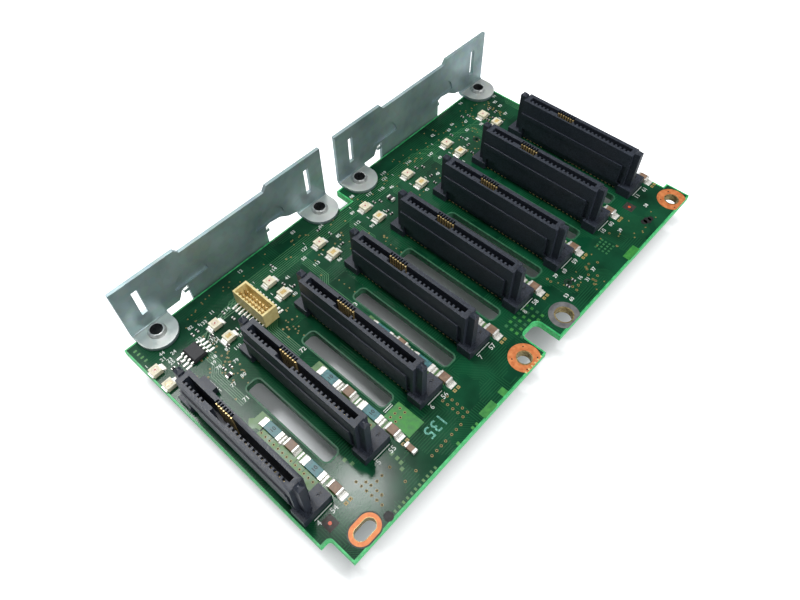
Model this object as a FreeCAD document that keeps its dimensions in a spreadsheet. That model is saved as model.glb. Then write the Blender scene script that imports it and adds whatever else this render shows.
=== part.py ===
import FreeCAD, Part
import Sketcher
import os
import re

# Drive backplane board for eight small drives side by side.
# Frame: the origin is the centre of the middle mounting hole on the board's component face.
# +X runs along the row of drive connectors, +Y towards the edge with the brackets, +Z up.
# All sizes are in millimetres.

doc = FreeCAD.newDocument("drive_backplane")
sheet = doc.addObject("Spreadsheet::Sheet", "sizes")

SIZES = {
    # circuit board: outline, seen from above
    "board_thick": 2.0,
    "board_left_margin": 2.2,
    "board_right_margin": 12.24,
    "board_low": -3.0,
    "head_room": 21.3,
    "strip_high": 4.1,
    "strip_left_inset": 2.5,
    "strip_right_inset": 0.7,
    "step_depth": 2.6,
    "step_high": 19.0,
    "strip_round": 0.8,
    # relief in the bracket edge, between the two brackets
    "notch_left": 4.5,
    "notch_right": 8.9,
    "notch_depth": 6.0,
    # open cable slot in the low edge
    "gap_left": 4.7,
    "gap_right": 10.8,
    "gap_depth": 7.3,
    "gap_round": 1.6,
    # air slots between neighbouring drive connectors
    "air_slot_offset": 10.9,
    "air_slot_width": 4.0,
    "air_slot_high_inset": 5.0,
    "air_slot_low_short": 7.0,
    "air_slot_low_long": 3.3,
    "air_slot_round": 1.2,
    # mounting holes
    "screw_radius": 1.75,
    "left_hole_inset": 8.7,
    "left_hole_radius": 1.6,
    "left_hole_travel": 2.4,
    "right_hole_inset": 5.4,
    "vent_hole": 16.7,
    "vent_radius": 2.25,
    "tooling_radius": 0.6,
    "tooling_low_across": 25.9,
    "tooling_low_along": 5.1,
    "tooling_high_across": 53.2,
    "tooling_high_along": 57.2,
    # drive connectors: the corner of the first one's printed outline, and the pitch
    "drive_left": -61.2,
    "drive_low": 9.0,
    "drive_pitch": 17.78,
    # one drive connector, measured from that corner
    "shroud_left": -0.7,
    "shroud_right": 3.1,
    "shroud_low": 3.3,
    "shroud_length": 36.1,
    "shroud_top": 13.6,
    "cavity_left": 0.7,
    "cavity_width": 1.3,
    "cavity_end_wall": 1.4,
    "cavity_floor": 5.0,
    "base_clear": 0.5,
    "base_low_inset": 1.9,
    "base_high_inset": 0.1,
    "base_swell": 0.15,
    "ledge_swell": 0.35,
    "ledge_top": 9.2,
    "ledge_under": 7.8,
    "undercut_top": 2.6,
    "undercut_deep": -0.1,
    "undercut_high_inset": 1.1,
    "pocket_top": 4.0,
    "pocket_length": 3.2,
    "channel_deep": -0.2,
    "channel_low_inset": 0.8,
    "foot_left": -1.5,
    "foot_right": 6.4,
    "foot_reach": 3.0,
    "foot_length": 4.0,
    "foot_top": 2.9,
    "foot_dimple": 0.35,
    "heel_left": -1.2,
    "heel_length": 4.6,
    "heel_reach": 3.5,
    "heel_top": 2.2,
    "post_left": 0.3,
    "post_width": 1.7,
    "post_reach": 1.8,
    "post_top": 14.8,
    "post_bevel": 0.7,
    # contacts and the grooves that hold them
    "contact_pitch": 1.27,
    "contact_width": 0.6,
    "contact_thick": 0.3,
    "contact_top": 12.7,
    "contact_play": 0.05,
    "groove_depth": 0.6,
    "signal_count": 6,
    "signal_inset": 8.2,
    "power_count": 14,
    "power_inset": 2.6,
    "second_pitch": 0.8,
    "second_width": 0.4,
    "second_count": 7,
    "second_inset": 15.45,
    "second_open": 2.0,
    "second_wall": 0.35,
    "second_thick": 0.35,
    "second_forward": 0.25,
    "second_top": 13.0,
    "thin_inset": 16.1,
    "thin_length": 4.9,
    "thin_depth": 0.9,
    "thin_floor": 9.0,
    "tail_rise": 0.1,
    "tail_thick": 0.3,
    "tail_far": 3.0,
    # sheet brackets
    "bracket_inset": 1.3,
    "bracket_gap": 5.62,
    "sheet_thick": 1.0,
    "wall_clear": 1.1,
    "bend_radius": 0.6,
    "ear_top": 17.6,
    "middle_top": 16.0,
    "ear_left_length": 18.0,
    "ear_right_length": 18.6,
    "ear_slope": 1.2,
    "tab_radius": 5.2,
    "slot_inset": 5.6,
    "slot_width": 1.7,
    "slot_low": 5.4,
    "slot_height": 8.5,
    "window_near": 1.4,
    "window_far": 4.5,
    "window_shoulder": 5.0,
    "apron_left": 18.0,
    "apron_right_inset": 21.7,
    "apron_drop": 4.6,
    "dish_radius": 5.0,
    "dish_height": 5.1,
    "dish_left": 19.6,
    "dish_right_inset": 19.9,
    "dish_depth": 0.6,
    "lug_length": 2.6,
    "lug_reach": 2.0,
    "lug_low": 1.8,
    # hollow rivets through the tabs
    "rivet_bore": 1.6,
    "rivet_radius": 1.9,
    "rivet_foot_flare": 0.55,
    "rivet_top_flare": 0.15,
    "rivet_head_rise": 0.9,
    "rivet_tail_flare": 0.7,
    "rivet_tail_drop": 0.6,
    "rivet_play": 0.05,
    "rivet_wall_gap": 0.05,
    # signal lamps, two at each connector
    "lamp_across": -0.4,
    "lamp_near": 5.0,
    "lamp_far": 10.4,
    "lamp_width": 3.4,
    "lamp_length": 2.5,
    "lamp_height": 1.3,
    "lamp_well": 0.9,
    "lamp_well_depth": 0.15,
    "lamp_terminal": 0.45,
    "lamp_terminal_length": 1.9,
    "lamp_terminal_height": 0.6,
    # memory chip
    "chip_across": 9.0,
    "chip_along": 7.6,
    "chip_width": 3.8,
    "chip_end": 0.545,
    "chip_height": 1.3,
    "chip_draft": 0.3,
    "chip_stand": 0.15,
    "chip_lead_pitch": 1.27,
    "chip_lead_width": 0.42,
    "chip_lead_reach": 1.4,
    "lead_thick": 0.2,
    # shrouded ribbon header
    "header_across": 27.6,
    "header_along": 6.45,
    "header_width": 4.4,
    "header_end": 1.0,
    "header_height": 4.9,
    "header_wall": 0.6,
    "header_notch": 0.3,
    "header_notch_width": 0.6,
    "header_floor": 1.4,
    "header_pin_pitch": 1.2,
    "header_pin_size": 0.35,
    "header_pin_top": 3.6,
    "header_pin_row": 0.65,
    "header_pin_count": 9,
    "header_lead_reach": 1.4,
    # drive fuses, large and small capacitors
    "fuse_across": 8.3,
    "fuse_width": 2.3,
    "fuse_length": 6.1,
    "fuse_height": 0.8,
    "fuse_near": 8.0,
    "fuse_far": 21.5,
    "fuse_cap": 1.1,
    "foot_capacitor_across": 8.4,
    "foot_capacitor_along": 1.45,
    "row_capacitor_across": 8.5,
    "row_capacitor_along": 15.4,
    "capacitor_width": 2.2,
    "capacitor_length": 3.2,
    "capacitor_height": 1.3,
    "capacitor_cap": 0.55,
    # sockets on the far side of the board
    "rear_height": 8.0,
    "data_socket_left": -42.0,
    "data_socket_right": 46.0,
    "data_socket_low": 24.0,
    "data_socket_length": 24.6,
    "data_socket_width": 8.6,
    "data_shell": 0.5,
    "data_body_inset": 0.6,
    "data_cavity_length": 20.0,
    "data_cavity_width": 4.6,
    "data_cavity_depth": 6.0,
    "data_tongue": 1.2,
    "data_tongue_length": 17.0,
    "power_left": -16.0,
    "power_low": 52.0,
    "power_pitch": 4.2,
    "power_ways": 4,
    "power_wall": 1.1,
    "power_pin_size": 1.0,
    "power_pin_length": 5.5,
    "power_floor": 1.6,
}

for row, (word, value) in enumerate(SIZES.items(), start=1):
    sheet.set("A%d" % row, word)
    sheet.set("B%d" % row, str(value))
    sheet.setAlias("B%d" % row, word)
doc.recompute()

# Sizes that follow from the ones above, so that neighbouring pieces stay together.
FOLLOWS = {
    # brackets: four drives wide each, set in from the first connector
    "bracket_left": "drive_left + bracket_inset",
    "bracket_pitch": "4 * drive_pitch",
    "bracket_length": "bracket_pitch - bracket_gap",
    "apron_right": "bracket_length - apron_right_inset",
    "dish_right": "bracket_length - dish_right_inset",
    # drive connector, from its own corner
    "shroud_high": "shroud_low + shroud_length",
    "base_low": "shroud_low + base_low_inset",
    "base_high": "shroud_high - base_high_inset",
    "undercut_high": "shroud_high - undercut_high_inset",
    "pocket_low": "undercut_high - pocket_length",
    "channel_low": "shroud_low + channel_low_inset",
    "foot_low": "shroud_low - foot_reach",
    "heel_high": "shroud_high + heel_reach",
    "signal_first": "shroud_high - signal_inset",
    "power_first": "shroud_low + power_inset",
    "second_first": "shroud_high - second_inset",
    "thin_low": "shroud_high - thin_inset",
    # board outline round the connectors and the brackets
    "board_left": "drive_left - board_left_margin",
    "board_right": "drive_left + 7 * drive_pitch + board_right_margin",
    "board_high": "drive_low + heel_high + head_room",
    "strip_left": "board_left + strip_left_inset",
    "strip_right": "board_right - strip_right_inset",
    "step_right": "board_right - step_depth",
    "notch_low": "board_high - notch_depth",
    "gap_high": "board_low + gap_depth",
    "tab_centre_along": "board_high + wall_clear - bend_radius - rivet_head_foot - rivet_wall_gap",
    "air_slot_high": "drive_low + shroud_high - air_slot_high_inset",
    "left_hole": "board_left + left_hole_inset",
    "right_hole": "board_right - right_hole_inset",
    # rivets
    "rivet_head_foot": "rivet_radius + rivet_foot_flare",
    "rivet_head_top": "rivet_radius + rivet_top_flare",
    "rivet_tail": "rivet_radius + rivet_tail_flare",
    # parts beyond the connectors' heels
    "chip_length": "3 * chip_lead_pitch + 2 * chip_end",
    "header_length": "(header_pin_count - 1) * header_pin_pitch + 2 * header_end",
}

HALF_TURN = 3.141592653589793
SIZE_WORD = re.compile(r"\b(%s)\b" % "|".join(SIZES))
FOLLOWING_WORD = re.compile(r"\b(%s)\b" % "|".join(FOLLOWS))


def spelt_out(text):
    """The same expression with every following size put in terms of the sheet's own."""
    text = str(text)
    while FOLLOWING_WORD.search(text):
        text = FOLLOWING_WORD.sub(lambda found: "(%s)" % FOLLOWS[found.group(1)], text)
    return text


def sizes(text):
    """An expression over the sheet, from words such as 'board_left + 2'."""
    return SIZE_WORD.sub(r"sizes.\1", spelt_out(text))


def bind(thing, **properties):
    """Bind properties to the sheet; a double underscore stands for a dot."""
    for name, text in properties.items():
        thing.setExpression(name.replace("__", "."), sizes(text))
    return thing


def place(thing, x=0, y=0, z=0):
    return bind(thing, Placement__Base__x=x, Placement__Base__y=y, Placement__Base__z=z)


def block(name, x, y, z, dx, dy, dz):
    """A box from its low corner and its three sizes."""
    box = bind(doc.addObject("Part::Box", name), Length=dx, Width=dy, Height=dz)
    return place(box, x, y, z)


def rod(name, x, y, z, radius, height):
    round_bar = bind(doc.addObject("Part::Cylinder", name), Radius=radius, Height=height)
    return place(round_bar, x, y, z)


def fuse(name, *pieces):
    joined = doc.addObject("Part::MultiFuse", name)
    joined.Shapes = list(pieces)
    joined.Refine = True
    return joined


def cut(name, base, tool):
    left = doc.addObject("Part::Cut", name)
    left.Base, left.Tool = base, tool
    left.Refine = True
    return left


def group(name, *pieces):
    """Separate solids kept as one sub-part."""
    together = doc.addObject("Part::Compound", name)
    together.Links = list(pieces)
    return together


def sketch_in(body, name, plane):
    """An empty sketch on one of the body's own origin planes."""
    drawing = body.newObject("Sketcher::SketchObject", name)
    face = [f for f in body.Origin.OriginFeatures if f.Role == plane][0]
    drawing.AttachmentSupport = [(face, "")]
    drawing.MapMode = "FlatFace"
    return drawing


def outline(drawing, corners):
    """A closed polygon; each corner is a pair of expressions over the sheet."""
    values = [(value_of(x), value_of(y)) for x, y in corners]
    first = drawing.GeometryCount
    count = len(corners)
    for i, (x, y) in enumerate(values):
        nx, ny = values[(i + 1) % count]
        start, end = FreeCAD.Vector(x, y, 0), FreeCAD.Vector(nx, ny, 0)
        drawing.addGeometry(Part.LineSegment(start, end), False)
    for i in range(count):
        here, after = first + i, first + (i + 1) % count
        drawing.addConstraint(Sketcher.Constraint("Coincident", here, 2, after, 1))
    for i, ((x, y), (xt, yt)) in enumerate(zip(values, corners)):
        for kind, value, text in (("DistanceX", x, xt), ("DistanceY", y, yt)):
            at = drawing.addConstraint(Sketcher.Constraint(kind, -1, 1, first + i, 1, value))
            drawing.setExpression("Constraints[%d]" % at, sizes(text))


def circle(drawing, x, y, radius):
    centre = FreeCAD.Vector(value_of(x), value_of(y), 0)
    normal = FreeCAD.Vector(0, 0, 1)
    at = drawing.addGeometry(Part.Circle(centre, normal, value_of(radius)), False)
    for kind, value, text in (("DistanceX", centre.x, x), ("DistanceY", centre.y, y)):
        which = drawing.addConstraint(Sketcher.Constraint(kind, -1, 1, at, 3, value))
        drawing.setExpression("Constraints[%d]" % which, sizes(text))
    which = drawing.addConstraint(Sketcher.Constraint("Radius", at, value_of(radius)))
    drawing.setExpression("Constraints[%d]" % which, sizes(radius))


def value_of(text):
    """The present value of a sum or product of sheet words and plain numbers."""
    return float(sheet.evalExpression(spelt_out(text)))


# --- Circuit board -------------------------------------------------------------------------
# One plate of glass laminate. The low edge carries a strip shifted to the right, so that two
# boards can stand side by side with their strips overlapping.

def upright_edges(shape, corners):
    """Names of the vertical edges that stand on the given (x, y) corners."""
    names = []
    for number, edge in enumerate(shape.Edges, start=1):
        box = edge.BoundBox
        if box.XLength > 1e-6 or box.YLength > 1e-6:
            continue
        for x, y in corners:
            if abs(box.XMin - value_of(x)) < 1e-4 and abs(box.YMin - value_of(y)) < 1e-4:
                names.append("Edge%d" % number)
    return names


def rounded(body, name, corners, radius):
    doc.recompute()
    feature = body.Tip
    fillet = body.newObject("PartDesign::Fillet", name)
    fillet.Base = (feature, upright_edges(feature.Shape, corners))
    return bind(fillet, Radius=radius)


def pocket(body, drawing, name):
    hole = body.newObject("PartDesign::Pocket", name)
    hole.Profile = drawing
    hole.Type = "ThroughAll"
    hole.Midplane = True
    return hole


def rectangle(drawing, x, y, x_far, y_far):
    outline(drawing, [(x, y), (x_far, y), (x_far, y_far), (x, y_far)])


def long_hole(drawing, x, y, radius, travel):
    """A slotted hole along X, centred on x, y; travel is the distance between arc centres."""
    cx, cy, r, half = value_of(x), value_of(y), value_of(radius), value_of(travel) / 2
    up = FreeCAD.Vector(0, 0, 1)
    quarter = HALF_TURN / 2
    left_centre = FreeCAD.Vector(cx - half, cy, 0)
    right_centre = FreeCAD.Vector(cx + half, cy, 0)
    left_arc = Part.ArcOfCircle(Part.Circle(left_centre, up, r), quarter, 3 * quarter)
    right_arc = Part.ArcOfCircle(Part.Circle(right_centre, up, r), 3 * quarter, 5 * quarter)
    a = drawing.addGeometry(left_arc, False)
    b = drawing.addGeometry(right_arc, False)
    down = FreeCAD.Vector(0, -r, 0)
    low = Part.LineSegment(left_centre + down, right_centre + down)
    high = Part.LineSegment(right_centre - down, left_centre - down)
    c = drawing.addGeometry(low, False)
    d = drawing.addGeometry(high, False)
    for one, end, other, start in ((a, 2, c, 1), (c, 2, b, 1), (b, 2, d, 1), (d, 2, a, 1)):
        drawing.addConstraint(Sketcher.Constraint("Tangent", one, end, other, start))
    wanted = (("DistanceX", a, cx - half, "(%s) - (%s) / 2" % (x, travel)),
              ("DistanceY", a, cy, y),
              ("DistanceX", b, cx + half, "(%s) + (%s) / 2" % (x, travel)))
    for kind, arc, value, text in wanted:
        at = drawing.addConstraint(Sketcher.Constraint(kind, -1, 1, arc, 3, value))
        drawing.setExpression("Constraints[%d]" % at, sizes(text))
    at = drawing.addConstraint(Sketcher.Constraint("Radius", a, r))
    drawing.setExpression("Constraints[%d]" % at, sizes(radius))
    drawing.addConstraint(Sketcher.Constraint("Horizontal", c))


DRIVES = 8
AIR_SLOTS = DRIVES - 1
SHORT_AIR_SLOTS = 2
TABS = ["bracket_left + %d * bracket_pitch + %s" % (side, inset)
        for side in (0, 1)
        for inset in ("tab_radius", "bracket_length - tab_radius")]


def circuit_board():
    body = doc.addObject("PartDesign::Body", "circuit_board")
    plan = sketch_in(body, "board_outline", "XY_Plane")
    outline(plan, [
        ("strip_left", "board_low"), ("gap_left", "board_low"),
        ("gap_left", "gap_high"), ("gap_right", "gap_high"), ("gap_right", "board_low"),
        ("strip_right", "board_low"), ("strip_right", "strip_high"),
        ("step_right", "strip_high"), ("step_right", "step_high"),
        ("board_right", "step_high"), ("board_right", "board_high"),
        ("notch_right", "board_high"), ("notch_right", "notch_low"),
        ("notch_left", "notch_low"), ("notch_left", "board_high"),
        ("board_left", "board_high"), ("board_left", "strip_high"),
        ("strip_left", "strip_high")])
    plate = body.newObject("PartDesign::Pad", "board_plate")
    plate.Profile = plan
    plate.Reversed = True
    bind(plate, Length="board_thick")

    openings = sketch_in(body, "air_slots", "XY_Plane")
    corners = []
    for i in range(AIR_SLOTS):
        left = "drive_left + %d * drive_pitch + air_slot_offset" % i
        right = left + " + air_slot_width"
        low = "drive_low + "
        low += "air_slot_low_short" if i < SHORT_AIR_SLOTS else "air_slot_low_long"
        rectangle(openings, left, low, right, "air_slot_high")
        corners += [(left, low), (right, low), (left, "air_slot_high"), (right, "air_slot_high")]
    pocket(body, openings, "air_slot_cut")

    holes = sketch_in(body, "holes", "XY_Plane")
    circle(holes, 0, 0, "screw_radius")
    circle(holes, "right_hole", 0, "screw_radius")
    circle(holes, "vent_hole", 0, "vent_radius")
    circle(holes, "tooling_low_across", "tooling_low_along", "tooling_radius")
    circle(holes, "tooling_high_across", "tooling_high_along", "tooling_radius")
    for tab in TABS:
        circle(holes, tab, "tab_centre_along", "rivet_radius + rivet_play")
    long_hole(holes, "left_hole", 0, "left_hole_radius", "left_hole_travel")
    pocket(body, holes, "hole_cut")

    # The rivets stand close to the bracket edge, so their holes open towards it.
    mouths = sketch_in(body, "rivet_mouths", "XY_Plane")
    for tab in TABS:
        rectangle(mouths, tab + " - rivet_radius", "tab_centre_along",
                  tab + " + rivet_radius", "board_high + wall_clear")
    pocket(body, mouths, "rivet_mouth_cut")

    rounded(body, "air_slot_corners", corners, "air_slot_round")
    rounded(body, "gap_corners",
            [("gap_left", "gap_high"), ("gap_right", "gap_high")], "gap_round")
    rounded(body, "strip_corner", [("strip_left", "strip_high")], "strip_round")
    return [body]


# --- Drive connectors ----------------------------------------------------------------------
# Each is one moulding soldered to the board: a narrow shroud with the drive's slot, a guide
# post at each end, and a foot and a heel on the board. Spring contacts stand in grooves in
# both walls of the slot, and their tails run out under the shroud.

def post(name, y):
    """A guide post: a straight shaft with all four top edges bevelled."""
    shaft_top = "post_top - post_bevel"
    shaft = block(name + "_shaft", "post_left", y, "base_clear",
                  "post_width", "post_reach", shaft_top + " - base_clear")
    tip = doc.addObject("Part::Wedge", name + "_tip")
    tip.Placement.Rotation = FreeCAD.Rotation(FreeCAD.Vector(1, 0, 0), 90)
    bind(tip, Xmin=0, Xmax="post_width", X2min="post_bevel", X2max="post_width - post_bevel",
         Zmin=0, Zmax="post_reach", Z2min="post_bevel", Z2max="post_reach - post_bevel",
         Ymin=0, Ymax="post_bevel")
    place(tip, "post_left", y + " + post_reach", shaft_top)
    return [shaft, tip]


def contact_rows():
    """Where the contacts stand: name, y of the middle, half width, and which wall."""
    for i in range(int(SIZES["signal_count"])):
        yield "signal_%d" % i, "signal_first + %d * contact_pitch" % i, "contact_width", "near"
    for i in range(int(SIZES["power_count"])):
        yield "power_%d" % i, "power_first + %d * contact_pitch" % i, "contact_width", "near"
    for i in range(int(SIZES["second_count"])):
        yield "second_%d" % i, "second_first + %d * second_pitch" % i, "second_width", "far"


def connector_housing():
    shroud_far = "shroud_low + shroud_length"
    slot_far = "cavity_left + cavity_width"
    pieces = [
        block("shroud", "shroud_left", "shroud_low", "base_clear",
              "shroud_right - shroud_left", "shroud_length", "shroud_top - base_clear"),
        block("base", "shroud_left - base_swell", "base_low", "base_clear",
              "shroud_right - shroud_left + 2 * base_swell", "base_high - base_low",
              "ledge_under - base_clear"),
        block("ledge", "shroud_left - ledge_swell", "base_low", "ledge_under",
              "shroud_right - shroud_left + 2 * ledge_swell", "base_high - base_low",
              "ledge_top - ledge_under"),
        block("foot", "foot_left", "foot_low", 0,
              "foot_right - foot_left", "foot_length", "foot_top"),
        block("heel", "heel_left", "heel_high - heel_length", 0,
              "foot_right - heel_left", "heel_length", "heel_top"),
    ]
    pieces += post("low_post", "shroud_low - post_reach")
    pieces += post("high_post", shroud_far)
    solid = fuse("connector_block", *pieces)

    hollows = [
        block("drive_slot", "cavity_left", "shroud_low + cavity_end_wall", "cavity_floor",
              "cavity_width", "shroud_length - 2 * cavity_end_wall", "shroud_top"),
        block("thin_wall", "cavity_left - thin_depth", "thin_low", "thin_floor",
              "thin_depth + cavity_width / 2", "thin_length", "shroud_top"),
        block("undercut", "foot_left - 1", "base_low", 0,
              "undercut_deep - foot_left + 1", "undercut_high - base_low", "undercut_top"),
        block("pocket", "foot_left - 1", "pocket_low", 0,
              "undercut_deep - foot_left + 1", "undercut_high - pocket_low", "pocket_top"),
        block("channel", "foot_left - 1", "channel_low", "foot_top",
              "channel_deep - foot_left + 1", "base_low - channel_low",
              "ledge_top - foot_top"),
        rod("dimple", "(shroud_right + foot_right) / 2 - foot_dimple",
            "foot_low + foot_length / 2", "foot_top - foot_dimple / 2",
            "foot_dimple", "foot_dimple"),
    ]
    for name, y, width, wall in contact_rows():
        groove = width + " + 2 * contact_play"
        near = wall == "near"
        left = "cavity_left - groove_depth" if near else slot_far + " - cavity_width / 4"
        hollows.append(block("groove_" + name, left, "%s - (%s) / 2" % (y, groove), 0,
                             "groove_depth + cavity_width / 4", groove, "shroud_top + 1"))
        if not near:
            hollows.append(block("comb_" + name, slot_far, "%s - (%s) / 2" % (y, groove),
                                 "shroud_top - second_open",
                                 "shroud_right - second_wall - (%s)" % slot_far, groove,
                                 "second_open + 1"))
    return cut("connector_housing", solid, fuse("connector_hollows", *hollows))


def connector_contacts():
    contacts = []
    for name, y, width, wall in contact_rows():
        side = "%s - %s / 2" % (y, width)
        if wall == "near":
            left, thick = "cavity_left - groove_depth + contact_play", "contact_thick"
            top = "contact_top"
            tail = "undercut_deep + contact_play"
            tail_length = "%s + contact_thick - (%s)" % (left, tail)
        else:
            left, thick = "cavity_left + cavity_width - second_forward", "second_thick"
            top = "second_top"
            tail = left
            tail_length = "tail_far - (%s)" % left
        contacts.append(fuse(
            "contact_" + name,
            block("blade_" + name, left, side, "tail_rise", thick, width,
                  "%s - tail_rise" % top),
            block("tail_" + name, tail, side, "tail_rise", tail_length, width, "tail_thick")))
    return group("connector_contacts", *contacts)


def drive_connectors():
    housing, contacts = connector_housing(), connector_contacts()
    nodes = []
    for i in range(DRIVES):
        for name, piece in (("drive_connector", housing), ("drive_contacts", contacts)):
            node = group("%s_%d" % (name, i + 1), piece)
            place(node, "drive_left + %d * drive_pitch" % i, "drive_low", 0)
            nodes.append(node)
    return nodes


# --- Brackets and their rivets -------------------------------------------------------------
# Two alike galvanised sheets stand just outside the high edge. A round tab at each end is
# folded in over the board and held by a hollow rivet; between the tabs an apron reaches down
# past the board, with a dished arch over each window where the sheet turns.

def bracket_sheet():
    body = doc.addObject("PartDesign::Body", "bracket_sheet")
    wall = "board_high + wall_clear"

    def at(length):
        return "bracket_left + " + length

    def from_right(length):
        return "bracket_left + bracket_length - (%s)" % length

    def drawing_on_wall(name):
        drawing = sketch_in(body, name, "XZ_Plane")
        bind(drawing, AttachmentOffset__Base__z="-(%s)" % wall)
        return drawing

    tab = "2 * tab_radius"
    front = drawing_on_wall("wall_outline")
    outline(front, [
        (at("0"), "0"), (at(tab), "0"), (at(tab), "window_near"),
        (at("apron_left - 3.4"), "window_near"), (at("apron_left - 1.9"), "window_far - 0.4"),
        (at("apron_left"), "window_far"), (at("apron_left"), "-apron_drop"),
        (at("apron_right"), "-apron_drop"), (at("apron_right"), "window_far"),
        (at("apron_right + 1.4"), "window_shoulder"), (at("apron_right + 5"), "window_far"),
        (at("apron_right + 8"), "window_near + 1.2"), (from_right(tab), "window_near + 0.4"),
        (from_right(tab), "0"), (from_right("0"), "0"), (from_right("0"), "ear_top"),
        (from_right("ear_right_length"), "ear_top"),
        (from_right("ear_right_length + ear_slope"), "middle_top"),
        (at("ear_left_length + ear_slope"), "middle_top"),
        (at("ear_left_length"), "ear_top"), (at("0"), "ear_top")])
    sheet_wall = body.newObject("PartDesign::Pad", "wall")
    sheet_wall.Profile = front
    sheet_wall.Reversed = True
    bind(sheet_wall, Length="sheet_thick")

    roots = sketch_in(body, "tab_roots", "XY_Plane")
    discs = sketch_in(body, "tab_discs", "XY_Plane")
    bores = sketch_in(body, "tab_bores", "XY_Plane")
    for centre in (at("tab_radius"), from_right("tab_radius")):
        rectangle(roots, centre + " - tab_radius", "tab_centre_along",
                  centre + " + tab_radius", wall + " + sheet_thick / 2")
        half_disc(discs, centre, "tab_centre_along", "tab_radius", upper=False)
        circle(bores, centre, "tab_centre_along", "rivet_radius + rivet_play")
    for name, drawing in (("tab_root", roots), ("tab_disc", discs)):
        tabs = body.newObject("PartDesign::Pad", name)
        tabs.Profile = drawing
        bind(tabs, Length="sheet_thick")
    pocket(body, bores, "tab_bore")

    slots = drawing_on_wall("wall_slots")
    for centre in (at("slot_inset"), from_right("slot_inset")):
        rectangle(slots, centre + " - slot_width / 2", "slot_low",
                  centre + " + slot_width / 2", "slot_low + slot_height")
    pocket(body, slots, "wall_slot")

    dish = drawing_on_wall("dish_outline")
    for centre in (at("dish_left"), at("dish_right")):
        half_disc(dish, centre, "dish_height", "dish_radius")
    hollow = body.newObject("PartDesign::Pocket", "dish_hollow")
    hollow.Profile = dish
    bind(hollow, Length="dish_depth")
    back = drawing_on_wall("dish_back_outline")
    bind(back, AttachmentOffset__Base__z="-(%s + sheet_thick)" % wall)
    for centre in (at("dish_left"), at("dish_right")):
        half_disc(back, centre, "dish_height", "dish_radius + dish_depth")
    bulge = body.newObject("PartDesign::Pad", "dish_bulge")
    bulge.Profile = back
    bulge.Reversed = True
    bind(bulge, Length="dish_depth")

    lugs = sketch_in(body, "lug_outline", "XY_Plane")
    bind(lugs, AttachmentOffset__Base__z="lug_low")
    for x in (at("apron_left - lug_length / 2"), at("apron_right - lug_length / 2")):
        rectangle(lugs, x, wall + " + sheet_thick / 2", x + " + lug_length",
                  wall + " + sheet_thick + lug_reach")
    lug = body.newObject("PartDesign::Pad", "lug")
    lug.Profile = lugs
    bind(lug, Length="sheet_thick")

    doc.recompute()
    feature = body.Tip
    for name, y, z, radius in (("bend_inside", wall, "sheet_thick", "bend_radius"),
                               ("bend_outside", wall + " + sheet_thick", "0",
                                "bend_radius + sheet_thick")):
        bend = body.newObject("PartDesign::Fillet", name)
        bend.Base = (feature, level_edges(feature.Shape, y, z))
        bind(bend, Radius=radius)
        doc.recompute()
        feature = bend
    return body


def half_disc(drawing, x, y, radius, upper=True):
    """The upper or lower half of a disc, closed by its diameter."""
    centre = FreeCAD.Vector(value_of(x), value_of(y), 0)
    r = value_of(radius)
    up = FreeCAD.Vector(0, 0, 1)
    start = 0 if upper else HALF_TURN
    arc = drawing.addGeometry(
        Part.ArcOfCircle(Part.Circle(centre, up, r), start, start + HALF_TURN), False)
    side = FreeCAD.Vector(r if upper else -r, 0, 0)
    chord = drawing.addGeometry(Part.LineSegment(centre - side, centre + side), False)
    drawing.addConstraint(Sketcher.Constraint("Coincident", arc, 2, chord, 1))
    drawing.addConstraint(Sketcher.Constraint("Coincident", chord, 2, arc, 1))
    drawing.addConstraint(Sketcher.Constraint("PointOnObject", arc, 3, chord))
    drawing.addConstraint(Sketcher.Constraint("Horizontal", chord))
    for kind, value, text in (("DistanceX", centre.x, x), ("DistanceY", centre.y, y)):
        which = drawing.addConstraint(Sketcher.Constraint(kind, -1, 1, arc, 3, value))
        drawing.setExpression("Constraints[%d]" % which, sizes(text))
    which = drawing.addConstraint(Sketcher.Constraint("Radius", arc, r))
    drawing.setExpression("Constraints[%d]" % which, sizes(radius))


def level_edges(shape, y, z):
    """Names of the edges that run along X at the given y and z."""
    names = []
    for number, edge in enumerate(shape.Edges, start=1):
        box = edge.BoundBox
        if box.YLength > 1e-6 or box.ZLength > 1e-6 or box.XLength < 1e-6:
            continue
        if abs(box.YMin - value_of(y)) < 1e-4 and abs(box.ZMin - value_of(z)) < 1e-4:
            names.append("Edge%d" % number)
    return names


def brackets():
    sheet_metal = bracket_sheet()
    nodes = []
    for i, name in enumerate(("bracket_left", "bracket_right")):
        nodes.append(place(group(name, sheet_metal), "%d * bracket_pitch" % i))
    rivets = []
    bottom = "-board_thick - rivet_tail_drop"
    top = "sheet_thick + rivet_head_rise"
    for i, tab in enumerate(TABS):
        spot = (tab, "tab_centre_along")
        collar = bind(doc.addObject("Part::Cone", "rivet_collar_%d" % i),
                      Radius1="rivet_head_foot", Radius2="rivet_head_top",
                      Height="rivet_head_rise")
        whole = fuse(
            "rivet_blank_%d" % i,
            rod("rivet_shank_%d" % i, *spot, bottom, "rivet_radius", "%s - (%s)" % (top, bottom)),
            place(collar, *spot, "sheet_thick"),
            rod("rivet_tail_%d" % i, *spot, bottom, "rivet_tail", "rivet_tail_drop"))
        bore = rod("rivet_bore_%d" % i, *spot, bottom + " - 1", "rivet_bore",
                   "%s - (%s) + 2" % (top, bottom))
        rivets.append(cut("rivet_%d" % i, whole, bore))
    nodes.append(group("bracket_rivets", *rivets))
    return nodes


# --- Parts soldered to the component face ----------------------------------------------------

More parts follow.
